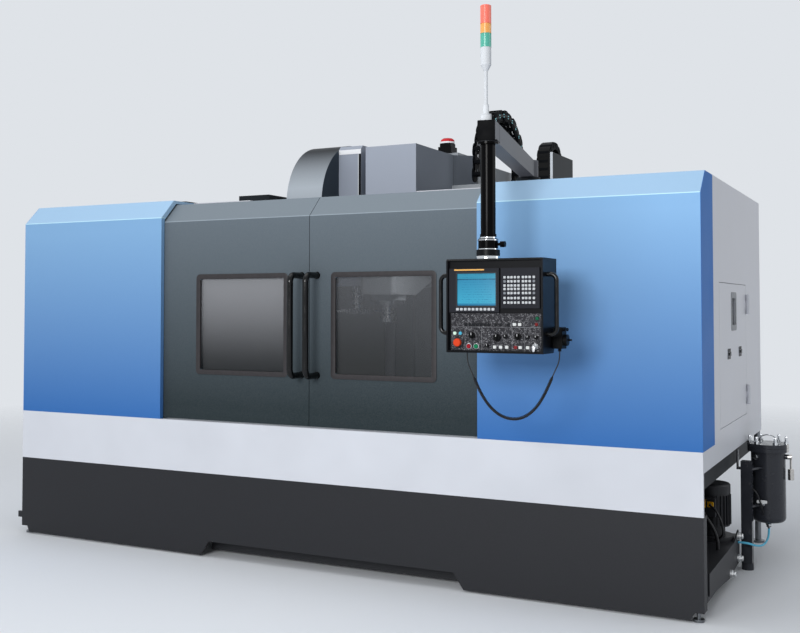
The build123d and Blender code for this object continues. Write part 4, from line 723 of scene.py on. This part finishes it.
class Center_OT_display(Operator):
    """Screen, soft keys and key grid of the control"""

    bl_idname = "center.display"
    bl_label = "Control display and keys"

    def execute(self, context):
        low, high = box_of("control_unit")
        front = low[1] + 2.5 * MM
        # The screen fills the recess in the left unit; the key grid is the right unit.
        screen_low = np.array([low[0] + 43 * MM, front + 3.4 * MM, low[2] + 33 * MM])
        screen_high = screen_low + np.array([205 * MM, 0, 159 * MM])
        middle = (screen_low + screen_high) / 2
        screen = plate(middle + [0, 0.5 * MM, 0], (204, 158), 1.2, 2, 0.4)
        rim = framed_seal(middle - [0, 3.4 * MM, 0], (217, 171), 5, [(0, 0), (0, 1), (5, 1), (6, -3), (5, -3)])
        strip = plate((low[0] + 108 * MM, front + 0.1 * MM, high[2] - 7 * MM), (160, 7), 0.5, 1, 0.2)
        soft = [
            key_cap((screen_low[0] + (3 + 21 * n) * MM, front, low[2] + 15.5 * MM), 15.0, 12.6, 3.2)
            for n in range(10)
        ]
        pale, dark = [], []
        for row, down in enumerate((46, 66, 86, 103, 123, 147, 169)):
            for column, across in enumerate((20, 40, 56, 74, 92, 115, 131, 149, 170)):
                cap = key_cap((low[0] + (276 + across) * MM, front, high[2] - down * MM), 12.2, 11.8)
                (dark if column in (0, 8) and row % 3 == 1 else pale).append(cap)
        key = moulded_plastic("key caps, white", "#b9bcbf", 0.3)
        lit = lit_screen("liquid crystal screen", screen_low, screen_high)
        for name, parts, finish, slot in (
            ("screen", [screen], lit, "panel_plastic"),
            ("soft_keys", soft, key, "white_plastic"),
            ("letter_keys", pale, key, "white_plastic"),
            ("shift_keys", dark, moulded_plastic("key caps, grey", "#7b7f85", 0.35), "panel_plastic"),
            ("title_strip", [strip], moulded_plastic("title strip, amber", "#d9a55c", 0.35), "panel_plastic"),
            ("screen_rim", [rim], moulded_plastic("screen rim, dark grey", "#38393d", 0.35), "panel_plastic"),
        ):
            piece(name, parts, finish, "pendant")
        return {"FINISHED"}


class Center_OT_operator_panel(Operator):
    """Ruled fields, keys, lamps, bezels and knob marks of the operator's panel"""

    bl_idname = "center.operator_panel"
    bl_label = "Operator panel"

    def execute(self, context):
        corner = box_of("pendant_housing")[0]
        face = box_of("operator_panel")[0][1] + 14 * MM

        def at(across, up):
            """Point on the panel's face, in millimetres from the pendant's lower left corner."""
            return np.array([corner[0] + across * MM, face, corner[2] + up * MM])

        def turned(spots, profile, segments=32, closed=False):
            """Turned forms on the panel's face, whose profile rises towards the operator."""
            return [revolved(at(*spot), -BACK, profile, segments, closed) for spot in spots]

        # Rules are their middle and their size; the other lists are middles.
        rules = [(258, 127, 466, 1.4), (114, 145, 1.4, 34), (342, 145, 1.4, 34)]
        rules += [(across, 70, 1.4, 112) for across in (97, 186, 345, 410)]
        dark = [(across, 139) for across in (*(103 + 20.4 * n for n in range(7)), 261, 286, 328)]
        pale = [(358, 141), (385, 141), *((across, 30) for across in (255, 286, 318, 387, 425))]
        knobs = ((217, 37), (312, 82), (427, 80), (468, 80))
        dome = [(0, 0), (8.6, 0), (8.6, 3.4), (7.4, 5.0), (4.0, 6.2), (0.4, 6.5)]
        bezel = [(12.3, 0), (15, 0), (15, 2.2), (13.6, 3.2), (12.3, 3.2)]
        collar = [(24.2, 0), (27, 0), (27, 3), (25.5, 4.6), (24.2, 4.6)]
        grip = [(0, 0), (9.4, 0), (9.4, 10), (8.6, 14.4), (0.4, 14.6)]

        printed = moulded_plastic("printed rule, pale grey", "#8d8e92", 0.5)
        bars = [key_cap(at(across, up), *size, 0.5) for across, up, *size in rules]
        piece("panel_rules", bars, printed, "pendant", smooth=False)
        key = moulded_plastic("key caps, black", "#202124", 0.32)
        lit = moulded_plastic("lamp caps, white", "#cccecd", 0.28)
        stop = moulded_plastic("key cap, dark red", "#7c2a2d", 0.3)
        for name, spots, size, finish, slot in (
            ("panel_keys", dark, (16.6, 14.6), key, "knob_black"),
            ("panel_lamp_keys", pale, (16.6, 14.6), lit, "white_plastic"),
            ("cycle_stop_key", [(363, 30)], (17, 15), stop, "button_red"),
        ):
            piece(name, [key_cap(at(*spot), *size) for spot in spots], finish, "pendant")
        for name, spot, code in (
            ("power_lamp", (43, 95), "#cfe8d6"), ("ready_lamp", (73, 95), "#4fa9c6"),
            ("power_on_button", (474, 171), "#1a5c3f"), ("power_off_button", (470, 142), "#6f2425"),
        ):
            lens = moulded_plastic(f"lens of the {name}", code, 0.18)
            piece(name, turned([spot], dome), lens, "pendant")

        chrome = chrome_plate("chrome bezels")
        grey = moulded_plastic("collar, dark grey", "#2a2b2e", 0.35)
        black = moulded_plastic("knobs, black", "#141517", 0.28)
        mark = moulded_plastic("pointer line, white", "#e8e9ea", 0.4)
        bezels = turned(((118, 32), (157, 32)), bezel, 40, True)
        piece("button_bezels", bezels, chrome, "pendant")
        piece("key_bezel", turned([(463, 36)], bezel, 40, True), chrome, "key_switch")
        piece("stop_collar", turned([(62, 50)], collar, 40, True), grey, "pendant")
        piece("minor_knobs", turned(knobs, grip, 24), black, "pendant")
        marks = [plate(at(a, u + 4) - [0, 14.5 * MM, 0], (1.8, 8), 0.5, 0.4, 0.2) for a, u in knobs]
        piece("minor_marks", marks, mark, "pendant", smooth=False)
        for node in ("mode_selector", "feed_override", "spindle_override"):
            low, high = box_of(node)
            pointer = plate(((low[0] + high[0]) / 2, low[1], high[2] - 9 * MM), (2, 12), 0.5, 0.5, 0.2)
            piece(f"{node}_mark", [pointer], mark, node, smooth=False)
        low, high = box_of("key_switch")
        hang = np.array([(low[0] + high[0]) / 2 + 1 * MM, low[1] + 2.4 * MM, low[2] + 1 * MM])
        tag = plate(hang, (12, 27), 1.8, 5, 0.5, (1, 0, 0.12), (-0.12, 0, 1))
        piece("key_tag", [tag], zinc_plate("nickel plated tag", "#d6d8da", 0.3), "key_switch")
        return {"FINISHED"}


class Center_OT_cable_chain(Operator):
    """Links of the large cable chain over the column and of the small one behind the guard plate"""

    bl_idname = "center.cable_chain"
    bl_label = "Cable chains"

    def execute(self, context):
        low, high = box_of("cable_chain")
        radius = (high[1] - low[1]) / 2
        centre = np.array([(low[0] + high[0]) / 2, (low[1] + high[1]) / 2, high[2] - radius])
        width = (high[0] - low[0]) / MM
        mean = radius - 45 * MM
        # Mean line: up the front run, over the half circle in 14 links, down the back run.
        legs = (centre[2] - low[2] - 80 * MM, centre[2] - low[2])
        pitch = np.pi * mean / 14
        stations = np.arange(-int(legs[0] / pitch), 14 + int(legs[1] / pitch) + 1)
        links, caps = [], []
        for n in stations:
            place, along, out = self.station(centre, mean, n * pitch)
            pin = self.station(centre, mean, (n + 0.5) * pitch)[0]
            # Every other link stands 6 mm further in, so that the links lap.
            apart = width / 2 - (12 if n % 2 else 18)
            links += self.cheeks(place, along, out, apart, (pitch / MM * 1.3, 84), 11, 40, 2.5, 5)
            links += [
                plate(place + out * level * 34 * MM, (width - 24, 26), 8, 3, 1.5, RIGHT, along * level, 3)
                for level in (-1, 1)
            ]
            caps += [
                revolved(
                    pin + RIGHT * side * (width / 2 - 4) * MM, (side, 0, 0),
                    [(0, 0), (14, 0), (14, 2.8), (12, 3.8), (0.5, 4)], 12,
                )
                for side in (-1, 1) if side > 0 or n % 2
            ]
        # Four cables lie side by side within the links, along the mean line.
        runs = np.linspace(stations[0] * pitch, stations[-1] * pitch, 60)
        middle = np.array([self.station(centre, mean, run)[0] for run in runs])
        cables = [
            tube(middle + RIGHT * across * MM, thick, 10) for across, thick in ((-36, 13), (-6, 11), (18, 9), (40, 12))
        ]
        nylon = moulded_plastic("glass filled nylon, black links", "#0c0e11", 0.45, gloss=0.02)
        spots = moulded_plastic("pin caps, turquoise", "#a5eef6", 0.35)
        for name, parts, finish, slot in (
            ("chain_links", links, nylon, "chain_plastic"),
            ("chain_pin_caps", caps, spots, "panel_plastic"),
            ("chain_cables", cables, rubber("cable sheaths, black", "#0f1012"), "chain_plastic"),
        ):
            made = piece(name, parts, finish, None)
            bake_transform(made)
            if name == "chain_links":
                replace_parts(made, "cable_chain")

        # Small chain beside the guard plate: it stands on the roof and bends over at the top.
        small, mean = [], 124 * MM
        for n in range(-4, 12):
            place, along, out = self.station(mm(932, 695, 2570), mean, n * np.pi * mean / 7)
            small += self.cheeks(place, along, out, 42, (70, 50), 4, 24, 1.5, 4)
            small.append(plate(place + out * 25 * MM, (78, 18), 3, 3, 1, RIGHT, along, 3))
        piece("small_chain_links", small, nylon, "machine")
        return {"FINISHED"}

    def station(self, centre, mean, run):
        """Place, direction along and direction outwards at a distance along the chain from the arch's front
        foot: a point on a half circle about X, with a straight run below each of its ends."""
        turn = min(max(run / mean, 0.0), np.pi)
        out = np.array([0, -math.cos(turn), math.sin(turn)])
        along = np.array([0, math.sin(turn), math.cos(turn)])
        return centre + mean * out + (run - turn * mean) * along, along, out

    def cheeks(self, place, along, out, apart, size, depth, radius, edge, steps):
        """The two side plates of a link, each apart from the middle."""
        return [
            plate(place + RIGHT * side * apart * MM, size, depth, radius, edge, along * side, out, steps)
            for side in (-1, 1)
        ]


class Center_OT_arm_fittings(Operator):
    """Rings and flange of the pendant's post, the arm's end cap and seams, and the tower's clamp"""

    bl_idname = "center.arm_fittings"
    bl_label = "Arm fittings"

    def execute(self, context):
        top = box_of("pendant_housing")[1][2]
        post = mm(1343, -1490, 0)
        chrome = chrome_plate("hard chrome rings")
        joint = [(50.3, 0), (52.4, 0.8), (52.4, 5.0), (50.3, 5.8)]
        # Heights in millimetres above the rotary joint's foot.
        rings = [
            revolved(post + UP * (top + z * MM), UP, profile, 48)
            for z, profile in (
                (1, joint), (46, joint), (56, [(41.8, 0), (43.4, 0.6), (43.4, 8), (41.8, 9)]),
                (76, [(38, 0), (39.6, 0.6), (39.6, 2.6), (38, 3.2)]),
            )
        ]
        piece("post_rings", rings, chrome, "pendant_arm")
        profile = [(63.2, 0.4), (64, 1.2), (64, 13), (62.5, 15.2), (59.4, 15.6)]
        flange = revolved(post + UP * (top - 46 * MM), UP, profile, 48)
        piece("pendant_flange", [flange], chrome, "pendant")

        # The beam points from the pedestal to the post; its front end lies 50 mm beyond the post.
        turn = math.radians(12)
        ahead = np.array([math.sin(turn), -math.cos(turn), 0])
        across = np.array([math.cos(turn), math.sin(turn), 0])
        middle = post + UP * (2385 + 51.5) * MM
        black = stove_enamel("stoved enamel, black, end cap", "#0a0b0d", 0.45, 0.03)
        cap = plate(middle + ahead * 50 * MM, (89, 104), 3, 5, 1.5, across)
        under = plate(middle - UP * 51.6 * MM, (108, 116), 5, 20, 2, across, -ahead, 6)
        piece("arm_end_cap", [cap, under], black, "pendant_arm")
        seams = [
            plate(middle - ahead * 92 * MM + across * side * 44.05 * MM, (2.2, 100), 0.5, 0.3, 0.2, ahead * -side)
            for side in (-1, 1)
        ]
        filler = rubber("joint filler, black", "#1a1a1c")
        piece("arm_seams", seams, filler, "pendant_arm", smooth=False)

        foot = (1325 * MM, -1470 * MM, box_of("tower_light_pole")[0][2])
        profile = [(27.4, 0.2), (27.4, 34), (24, 41), (15, 42.4), (14.6, 84), (12.6, 92.4), (9.2, 92.6)]
        cast = moulded_plastic("die cast clamp, pale grey", "#d3d6da", 0.4)
        piece("tower_clamp", [revolved(foot, UP, profile, 40)], cast, "pendant_arm")
        return {"FINISHED"}


class Center_OT_head_trims(Operator):
    """Edge strips of the tool changer, the seam of the head cover, and the motor's cap and band"""

    bl_idname = "center.head_trims"
    bl_label = "Head and changer trims"

    def execute(self, context):
        low, high = box_of("tool_changer_box")
        left, right = -330 * MM, -154 * MM
        white = powder_coat("powder coat, edge white", "#e9ebee")
        silver = powder_coat("satin enamel, light silver", "#c3c7cd", 0.3)
        # Black for the painted shade in the gap beside the tool changer.
        gap_shade = moulded_plastic("black sheet, painted shade in the gap", "#040405", 0.6)
        hood = box_of("head_cover")[1]
        seam = plate((hood[0] + 0.05 * MM, 438 * MM, hood[2] - 300 * MM), (3, 500), 0.5, 0.5, 0.2, BACK)
        foot = (35 * MM, 930 * MM, box_of("z_motor")[1][2] - 40 * MM)
        cap = revolved(foot, UP, [(53.0, 14), (53.0, 23), (49, 31), (38, 38.4), (20, 40.7), (0.5, 41)], 40)
        band = revolved(foot, UP, [(53.2, 0.5), (54, 1.5), (54, 12.5), (53.2, 13.8)], 40)
        strip = plate(((left + right) / 2, low[1], high[2] - 43 * MM), (174, 32), 1.5, 2, 0.5)
        # The slit is a black sheet of painted shade, where the gap between the changer and the hood lies in shade.
        flange, gap_shade_strip = (
            plate((right - inward * MM, low[1], high[2] - 260 * MM), (wide, 398), 1, 1, 0.4)
            for inward, wide in ((22, 6), (9.5, 17))
        )
        for name, part, finish, body, slot, smooth in (
            ("changer_top_strip", strip, white, "machine", "white_paint", True),
            ("changer_edge_flange", flange, silver, "machine", "silver_grey_paint", True),
            ("changer_edge_gap", gap_shade_strip, gap_shade, "machine", "silver_grey_paint", True),
            ("hood_seam", seam, rubber("joint line, dark grey", "#34373b"), "head", "silver_grey_paint", False),
            ("motor_cap", cap, moulded_plastic("motor cap, red", "#c9353a", 0.25), "machine", "switch_red", True),
            ("motor_band", band, white, "machine", "white_paint", True),
        ):
            piece(name, [part], finish, body, smooth)
        return {"FINISHED"}


class Center_OT_service_side(Operator):
    """Fittings, hoses and bolts of the filter and the coolant tank, latches and window of the side door"""

    bl_idname = "center.service_side"
    bl_label = "Service side"

    def execute(self, context):
        self.filter_fittings()
        self.hoses()
        self.tank()
        self.side_door()
        return {"FINISHED"}

    def filter_fittings(self):
        """Clamp bolts and bail on the filter's lid, its plug, elbow and valve with a lever."""
        axis = mm(2423, 372, 0)
        lid = 728
        bolt = [(15.2, 0), (15.2, 14.4), (11, 16), (9.5, 17), (9.5, 36), (8, 42), (4, 45), (0.4, 45.6)]
        bolts = [
            revolved(axis + mm(106 * math.cos(turn), 106 * math.sin(turn), lid + 0.5), UP, bolt, 20)
            for turn in np.radians(60 * np.arange(6))
        ]
        turn = np.linspace(0, np.pi, 17)
        bail = axis + np.stack([-62 * np.cos(turn), 0 * turn, lid + 50 * np.sin(turn)], 1) * MM
        bolts.append(tube(bail, 3.4, 10))
        piece("filter_bolts", bolts, chrome_plate("chrome plated fittings"), "machine")
        fittings = [
            revolved(axis + mm(*spot), out, profile, segments)
            for spot, out, segments, profile in (
                ((-58, -81, 650), (-0.58, -0.81, 0), 24, [(16, -6), (16, 8), (13, 10), (13, 15), (9, 17), (0.4, 17.4)]),
                ((0, 0, 219), UP, 20, [(11, 0), (11, 6), (15.5, 7), (15.5, 20), (12, 22), (12, 34)]),
                ((-20, -94, 380), -BACK, 24, [(12.6, 0), (12.6, 24), (15, 25), (15, 33), (8, 35), (8, 42), (0.4, 43)]),
            )
        ]
        piece("filter_fittings", fittings, zinc_plate("zinc plated bolts"), "machine")
        lever = plate(axis + mm(-20, -142.2, 393), (60, 19), 3, 6, 1)
        white = moulded_plastic("valve lever, white", "#e6e8e8", 0.35)
        piece("valve_lever", [lever], white, "machine")

    def hoses(self):
        """The blue drain hose, and the pump's and the sight glass's black hoses."""
        drain = [
            (2423, 372, 221), (2423, 368, 180), (2420, 330, 150), (2409, 222, 137), (2381, 127, 151), (2349, 42, 181),
            (2293, 42, 181),
        ]
        blue = moulded_plastic("polyurethane hose, blue", "#5fbadb", 0.25)
        black = rubber("rubber hoses, black", "#17171a", 0.5)
        routes = (
            (9, [(2130, -196, 430), (2130, -260, 430), (2168, -320, 395), (2222, -336, 325), (2240, -320, 260),
                 (2240, -320, 205)]),
            (6, [(2179, -192, 430), (2182, -250, 438), (2230, -300, 420), (2262, -300, 350), (2262, -260, 270),
                 (2200, -190, 232)]),
            (5, [(2358, 160, 478), (2382, 150, 462), (2398, 190, 400), (2404, 262, 330), (2408, 318, 262),
                 (2423, 352, 222), (2423, 366, 214)]),
        )
        for name, parts, finish in (
            ("drain_hose", [tube(rounded_path(drain), 6.4, 14)], blue),
            ("rubber_hoses", [tube(rounded_path(route), thick) for thick, route in routes], black),
        ):
            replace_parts(piece(name, parts, finish, "machine"), "pump_hoses")

    def tank(self):
        """The pump's connector caps and the tank's flange bolts."""
        plugs = [
            plate(mm(*spot), size, depth, radius, edge, RIGHT, up)
            for spot, size, depth, radius, edge, up in (
                ((2130, -196, 430), (45, 41), 3, 5, 1.5, UP),
                ((2179, -192, 430), (35, 31), 3, 5, 1.5, UP),
                ((2130, -175, 451), (44, 24), 1, 3, 0.5, BACK),
            )
        ]
        yellow = moulded_plastic("connector caps, yellow", "#dfa41c", 0.32)
        piece("yellow_plugs", plugs, yellow, "machine")
        head = [(23, -12), (23, 1.4), (22, 2.6), (16, 2.8), (16, 15), (13.4, 18), (0.4, 18.6)]
        bolts = [
            revolved(mm(2305, y, z), RIGHT, head, 20) for y, z in ((30, 220), (30, 92), (-240, 62))
        ]
        zinc = zinc_plate("zinc plated flange bolts", "#dcdedf", 0.42)
        piece("tank_bolts", bolts, zinc, "machine")

    def side_door(self):
        """The window of the service door in its rim, and the two flush latches."""

        def at(depth, y, z):
            """Point in millimetres, with its depth in front of the side's face."""
            return np.array([SIDE_FACE + depth * MM, y * MM, z * MM])

        pane = plate(at(-13, -72, 1532), (128, 198), 2, 39, 0.5, BACK, UP, 8)
        rim = framed_seal(
            at(0, -72, 1532), (188, 222), 20, [(0, 0), (0, 1), (2, 1.6), (33, 1.6), (34, 0.6), (34, 0)], BACK
        )
        latches = []
        for y in (-267, 123):
            latches.append(plate(at(4, y, 1294), (90.6, 58.6), 1.2, 6, 0.6, BACK))
            latches.append(plate(at(5, y, 1294), (61, 25), 6, 5, 2, BACK))
        glass = smoked_glass("slot window, dark", "#8b8f93", "#2c2f33", 1.45, 1.63)
        for name, parts, finish, slot in (
            ("slot_window", [pane], glass, "window_glass"),
            ("slot_rim", [rim], moulded_plastic("slot rim, grey", "#85888d", 0.35), "panel_plastic"),
            ("door_latches", latches, moulded_plastic("latches, black nylon", "#1b1c1e", 0.35), "handle_black"),
        ):
            piece(name, parts, finish, "side_service_door")


class Center_OT_panel_joints(Operator):
    """Joint lines and button-head screws of the roof, the rear panels and the left side panel"""

    bl_idname = "center.panel_joints"
    bl_label = "Panel joints and screws"

    def execute(self, context):
        left = box_of("left_side_panel")[0][0]
        back = box_of("rear_panels")[1][1]
        roof = box_of("roof_panels")[1][2]
        # Each joint is its middle, the direction across it, the direction along it and its length in millimetres.
        joints = [((x * MM, back, 1.484), -RIGHT, UP, 1470) for x in (-1060, -1670, 2000)]
        joints += [((x * MM, 0.1435, roof), RIGHT, BACK, 1690) for x in (-1250, 1250, 1850)]
        lines, heads = [], []
        for middle, across, run, size in joints:
            lines.append(plate(middle, (3, size), 0.4, 0.6, 0.2, across, run, 2))
            heads += [
                self.screw(middle + across * side * MM + run * spot, np.cross(across, run))
                for spot in np.linspace(-size / 2 + 40, size / 2 - 40, 6) * MM for side in (-16, 16)
            ]
        heads += [
            self.screw(np.array([left, y * MM, 1.547]) + UP * spot, -RIGHT)
            for y in (-690, 975) for spot in np.linspace(-665, 665, 6) * MM
        ]
        filler = rubber("joint filler, grey", "#5c5f64")
        piece("joint_lines", lines, filler, "machine", smooth=False)
        piece("panel_screws", heads, zinc_plate("zinc plated screws", "#a9abae", 0.35), "machine")
        return {"FINISHED"}

    def screw(self, place, out):
        """Button head 15 mm across: a turned dome with a shallow socket."""
        return revolved(place, out, [(7.5, 0), (7.2, 1.6), (5.4, 3.2), (3.2, 3.8), (2.6, 2.6), (0.3, 2.5)], 12)


class Center_OT_curly_cord(Operator):
    """Curly cord of the pulse unit, wound round the route that the frame's cord follows"""

    bl_idname = "center.curly_cord"
    bl_label = "Curly cord"

    def execute(self, context):
        settings = context.scene.machining_center.cord
        # Route in millimetres: down out of the pendant's floor, a long sag, and up into the pulse unit.
        route = mm(
            (1240, -1520, 1333), (1240, -1520, 1290), (1256, -1517, 1247), (1279, -1512, 1196), (1306, -1505, 1131),
            (1350, -1496, 1063), (1406, -1486, 1018), (1469, -1475, 1003), (1530, -1464, 1020), (1582, -1452, 1068),
            (1619, -1441, 1133), (1645, -1431, 1196), (1666, -1424, 1246), (1688, -1417.5, 1296), (1688, -1417.5, 1341),
        )
        line = self.smooth_line(route)
        run = np.concatenate([[0.0], np.cumsum(np.linalg.norm(np.diff(line, axis=0), axis=1))])
        total = run[-1]
        # The curly stretch has 14 points to each turn, and the straight ends are as fine.
        start, end = 0.145 * total, 0.855 * total
        turns = (end - start) / settings.pitch
        along = np.linspace(0, total, int(turns * 14 / (end - start) * total))
        centre = np.stack([np.interp(along, run, line[:, k]) for k in range(3)], 1)
        first, second = square_to(centre, line)
        # The curl swells from nothing over two and a half turns at each end, by 3 s^2 - 2 s^3.
        swell = np.clip(np.minimum(along - start, end - along) / (2.5 * settings.pitch), 0, 1)
        swell = (settings.curl - settings.wire) / 2 * (swell * swell * (3 - 2 * swell))
        angle = 2 * np.pi * (along - start) / settings.pitch
        coil = centre + swell[:, None] * (np.cos(angle)[:, None] * first + np.sin(angle)[:, None] * second)
        coil[0], coil[-1] = route[0], route[-1]
        curve = self.curve_through("curly_cord", coil, "POLY")
        curve.bevel_depth = settings.wire / 2
        curve.bevel_resolution = 2
        curve.use_fill_caps = True
        cord = bpy.data.objects.new("curly_cord", curve)
        context.scene.collection.objects.link(cord)
        curve.materials.append(rubber("polyurethane cord, black", "#141416", 0.4))
        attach(cord, "pendant")
        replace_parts(cord, "handwheel_cord")
        return {"FINISHED"}

    def curve_through(self, name, points, kind):
        """Curve with one spline of a kind, POLY or NURBS, over points."""
        curve = bpy.data.curves.new(name, "CURVE")
        curve.dimensions = "3D"
        spline = curve.splines.new(kind)
        spline.points.add(len(points) - 1)
        spline.points.foreach_set("co", np.column_stack([points, np.ones(len(points))]).ravel())
        return curve

    def smooth_line(self, route):
        """Points along the NURBS spline whose control points are the route."""
        curve = self.curve_through("route", route, "NURBS")
        spline = curve.splines[0]
        spline.order_u = 3
        spline.use_endpoint_u = True
        spline.resolution_u = 24
        guide = bpy.data.objects.new("route", curve)
        data = bpy.data.meshes.new_from_object(guide)
        line = np.zeros(len(data.vertices) * 3)
        data.vertices.foreach_get("co", line)
        bpy.data.objects.remove(guide)
        bpy.data.curves.remove(curve)
        bpy.data.meshes.remove(data)
        return line.reshape(-1, 3)


class Center_OT_studio(Operator):
    """Pale floor, soft lamps and the camera"""

    bl_idname = "center.studio"
    bl_label = "Studio"

    def execute(self, context):
        scene = context.scene
        settings = scene.machining_center.studio
        self.floor(scene, settings)
        self.surroundings(scene, settings)
        # Each lamp is its name, its place, the point it is turned to, its size and its power in watts.
        for name, place, target, size, power in (
            ("key_lamp", (1.2, -10.5, 3.9), (0.3, -0.6, 1.2), (3.6, 2.6), 575.0),
            ("top_lamp", (-1.0, -1.5, 7.5), (0.0, -0.6, 0.0), (7.0, 5.0), 130.0),
            ("work_lamp", (0.7, -0.42, 2.1), (0.6, -0.5, 0.8), (0.9, 0.3), 10.0),
            ("side_lamp", (9.0, 1.5, 3.5), (1.5, 0.3, 1.2), (4.0, 3.5), 98.0),
        ):
            data = bpy.data.lights.new(name, "AREA")
            data.shape = "RECTANGLE"
            data.size, data.size_y = size
            data.energy = power
            turn = (Vector(target) - Vector(place)).to_track_quat("-Z", "Y").to_euler()
            self.stand(scene, data, place, turn)
        data = bpy.data.cameras.new("camera")
        data.lens = settings.lens
        data.sensor_width = 36.0
        data.shift_x, data.shift_y = -0.0022, -0.0575
        data.clip_end = 200.0
        # It stands in front, to the right, at eye height.
        turn = (math.pi / 2 + settings.pitch, 0.0, settings.azimuth)
        scene.camera = self.stand(scene, data, (3.277, -6.292, 1.5655), turn)
        scene.view_settings.view_transform = "Standard"
        return {"FINISHED"}

    def stand(self, scene, data, place, turn):
        """Put a lamp or a camera in its place."""
        made = bpy.data.objects.new(data.name, data)
        made.location = place
        made.rotation_euler = turn
        scene.collection.objects.link(made)
        return made

    def floor(self, scene, settings):
        """Level disc whose rings are spaced by the square of their number, so that it is finest in the middle."""
        rings, around, reach_out = 12, 64, 60.0
        ring = (np.arange(1, rings + 1) / rings) ** 2 * reach_out
        angle = np.linspace(0, 2 * np.pi, around, endpoint=False)
        flat = [np.outer(ring, np.cos(angle)), np.outer(ring, np.sin(angle)), np.zeros((rings, around))]
        vertices, faces = grid(np.stack(flat, -1), wrap_columns=True)
        faces.append(list(range(around)))
        data = bpy.data.meshes.new("studio_floor")
        data.from_pydata(vertices.tolist(), [], faces)
        made = bpy.data.objects.new("studio_floor", data)
        scene.collection.objects.link(made)
        finish, tree, surface = new_finish("matt studio floor", settings.floor, 0.8, Specular_IOR_Level=0.2)
        # The floor fades into the surroundings between 4 m and 11 m from the middle.
        place = add_node(tree, "ShaderNodeTexCoord", out="Object")
        apart = add_node(tree, "ShaderNodeVectorMath", {"Vector": place}, "Value", operation="LENGTH")
        limits = {"From Min": 4.0, "From Max": 11.0, "To Min": 1.0, "To Max": 0.0}
        tree.links.new(add_node(tree, "ShaderNodeMapRange", {"Value": apart, **limits}), surface.inputs["Alpha"])
        data.materials.append(finish)

    def surroundings(self, scene, settings):
        """Pale surroundings: a plain level of light on the object, and near white where a ray sees it."""
        world = bpy.data.worlds.new("studio")
        world.use_nodes = True
        tree = world.node_tree
        tree.nodes.clear()
        seen = 0.0
        for ray in ("Is Camera Ray", "Is Transmission Ray", "Is Glossy Ray"):
            path = add_node(tree, "ShaderNodeLightPath", out=ray)
            seen = add_node(tree, "ShaderNodeMath", {0: seen, 1: path}, operation="MAXIMUM")
        # The light is stronger from the left than from the right, as in a hall with windows on one side.
        strength = reach(tree, "X", -0.6, 0.7, settings.fill * 1.35, settings.fill * 0.45, "Generated")
        light = add_node(tree, "ShaderNodeBackground", {"Color": (0.93, 0.96, 1.0), "Strength": strength})
        shown = add_node(tree, "ShaderNodeBackground", {"Color": "#dfe3e8", "Strength": 1.0})
        mixed = add_node(tree, "ShaderNodeMixShader", {0: seen, 1: light, 2: shown})
        tree.links.new(mixed, tree.nodes.new("ShaderNodeOutputWorld").inputs["Surface"])
        scene.world = world


class Center_PT_panel(Panel):
    """Buttons and settings of the machining center"""

    bl_label = "Machining Center"
    bl_idname = "CENTER_PT_panel"
    bl_space_type = "VIEW_3D"
    bl_region_type = "UI"
    bl_category = "Machining Center"

    def draw(self, context):
        settings = context.scene.machining_center
        for operator in OPERATORS:
            self.layout.operator(operator.bl_idname)
        for group in (settings.paint, settings.glass, settings.cord, settings.studio):
            box = self.layout.box()
            for name in group.__annotations__:
                box.prop(group, name)


SETTINGS = (PaintSettings, GlassSettings, CordSettings, StudioSettings, CenterSettings)
OPERATORS = (
    Center_OT_finishes,
    Center_OT_window_seals,
    Center_OT_display,
    Center_OT_operator_panel,
    Center_OT_cable_chain,
    Center_OT_arm_fittings,
    Center_OT_head_trims,
    Center_OT_service_side,
    Center_OT_panel_joints,
    Center_OT_curly_cord,
    Center_OT_studio,
)
CLASSES = (*SETTINGS, *OPERATORS, Center_PT_panel)


def register():
    for item in CLASSES:
        bpy.utils.register_class(item)
    bpy.types.Scene.machining_center = PointerProperty(type=CenterSettings)


def unregister():
    del bpy.types.Scene.machining_center
    for item in reversed(CLASSES):
        bpy.utils.unregister_class(item)


def main():
    """Run every operator in order."""
    register()
    bpy.ops.center.finishes()
    bpy.ops.center.window_seals()
    bpy.ops.center.display()
    bpy.ops.center.operator_panel()
    bpy.ops.center.cable_chain()
    bpy.ops.center.arm_fittings()
    bpy.ops.center.head_trims()
    bpy.ops.center.service_side()
    bpy.ops.center.panel_joints()
    bpy.ops.center.curly_cord()
    bpy.ops.center.studio()


if __name__ == "__main__":
    main()
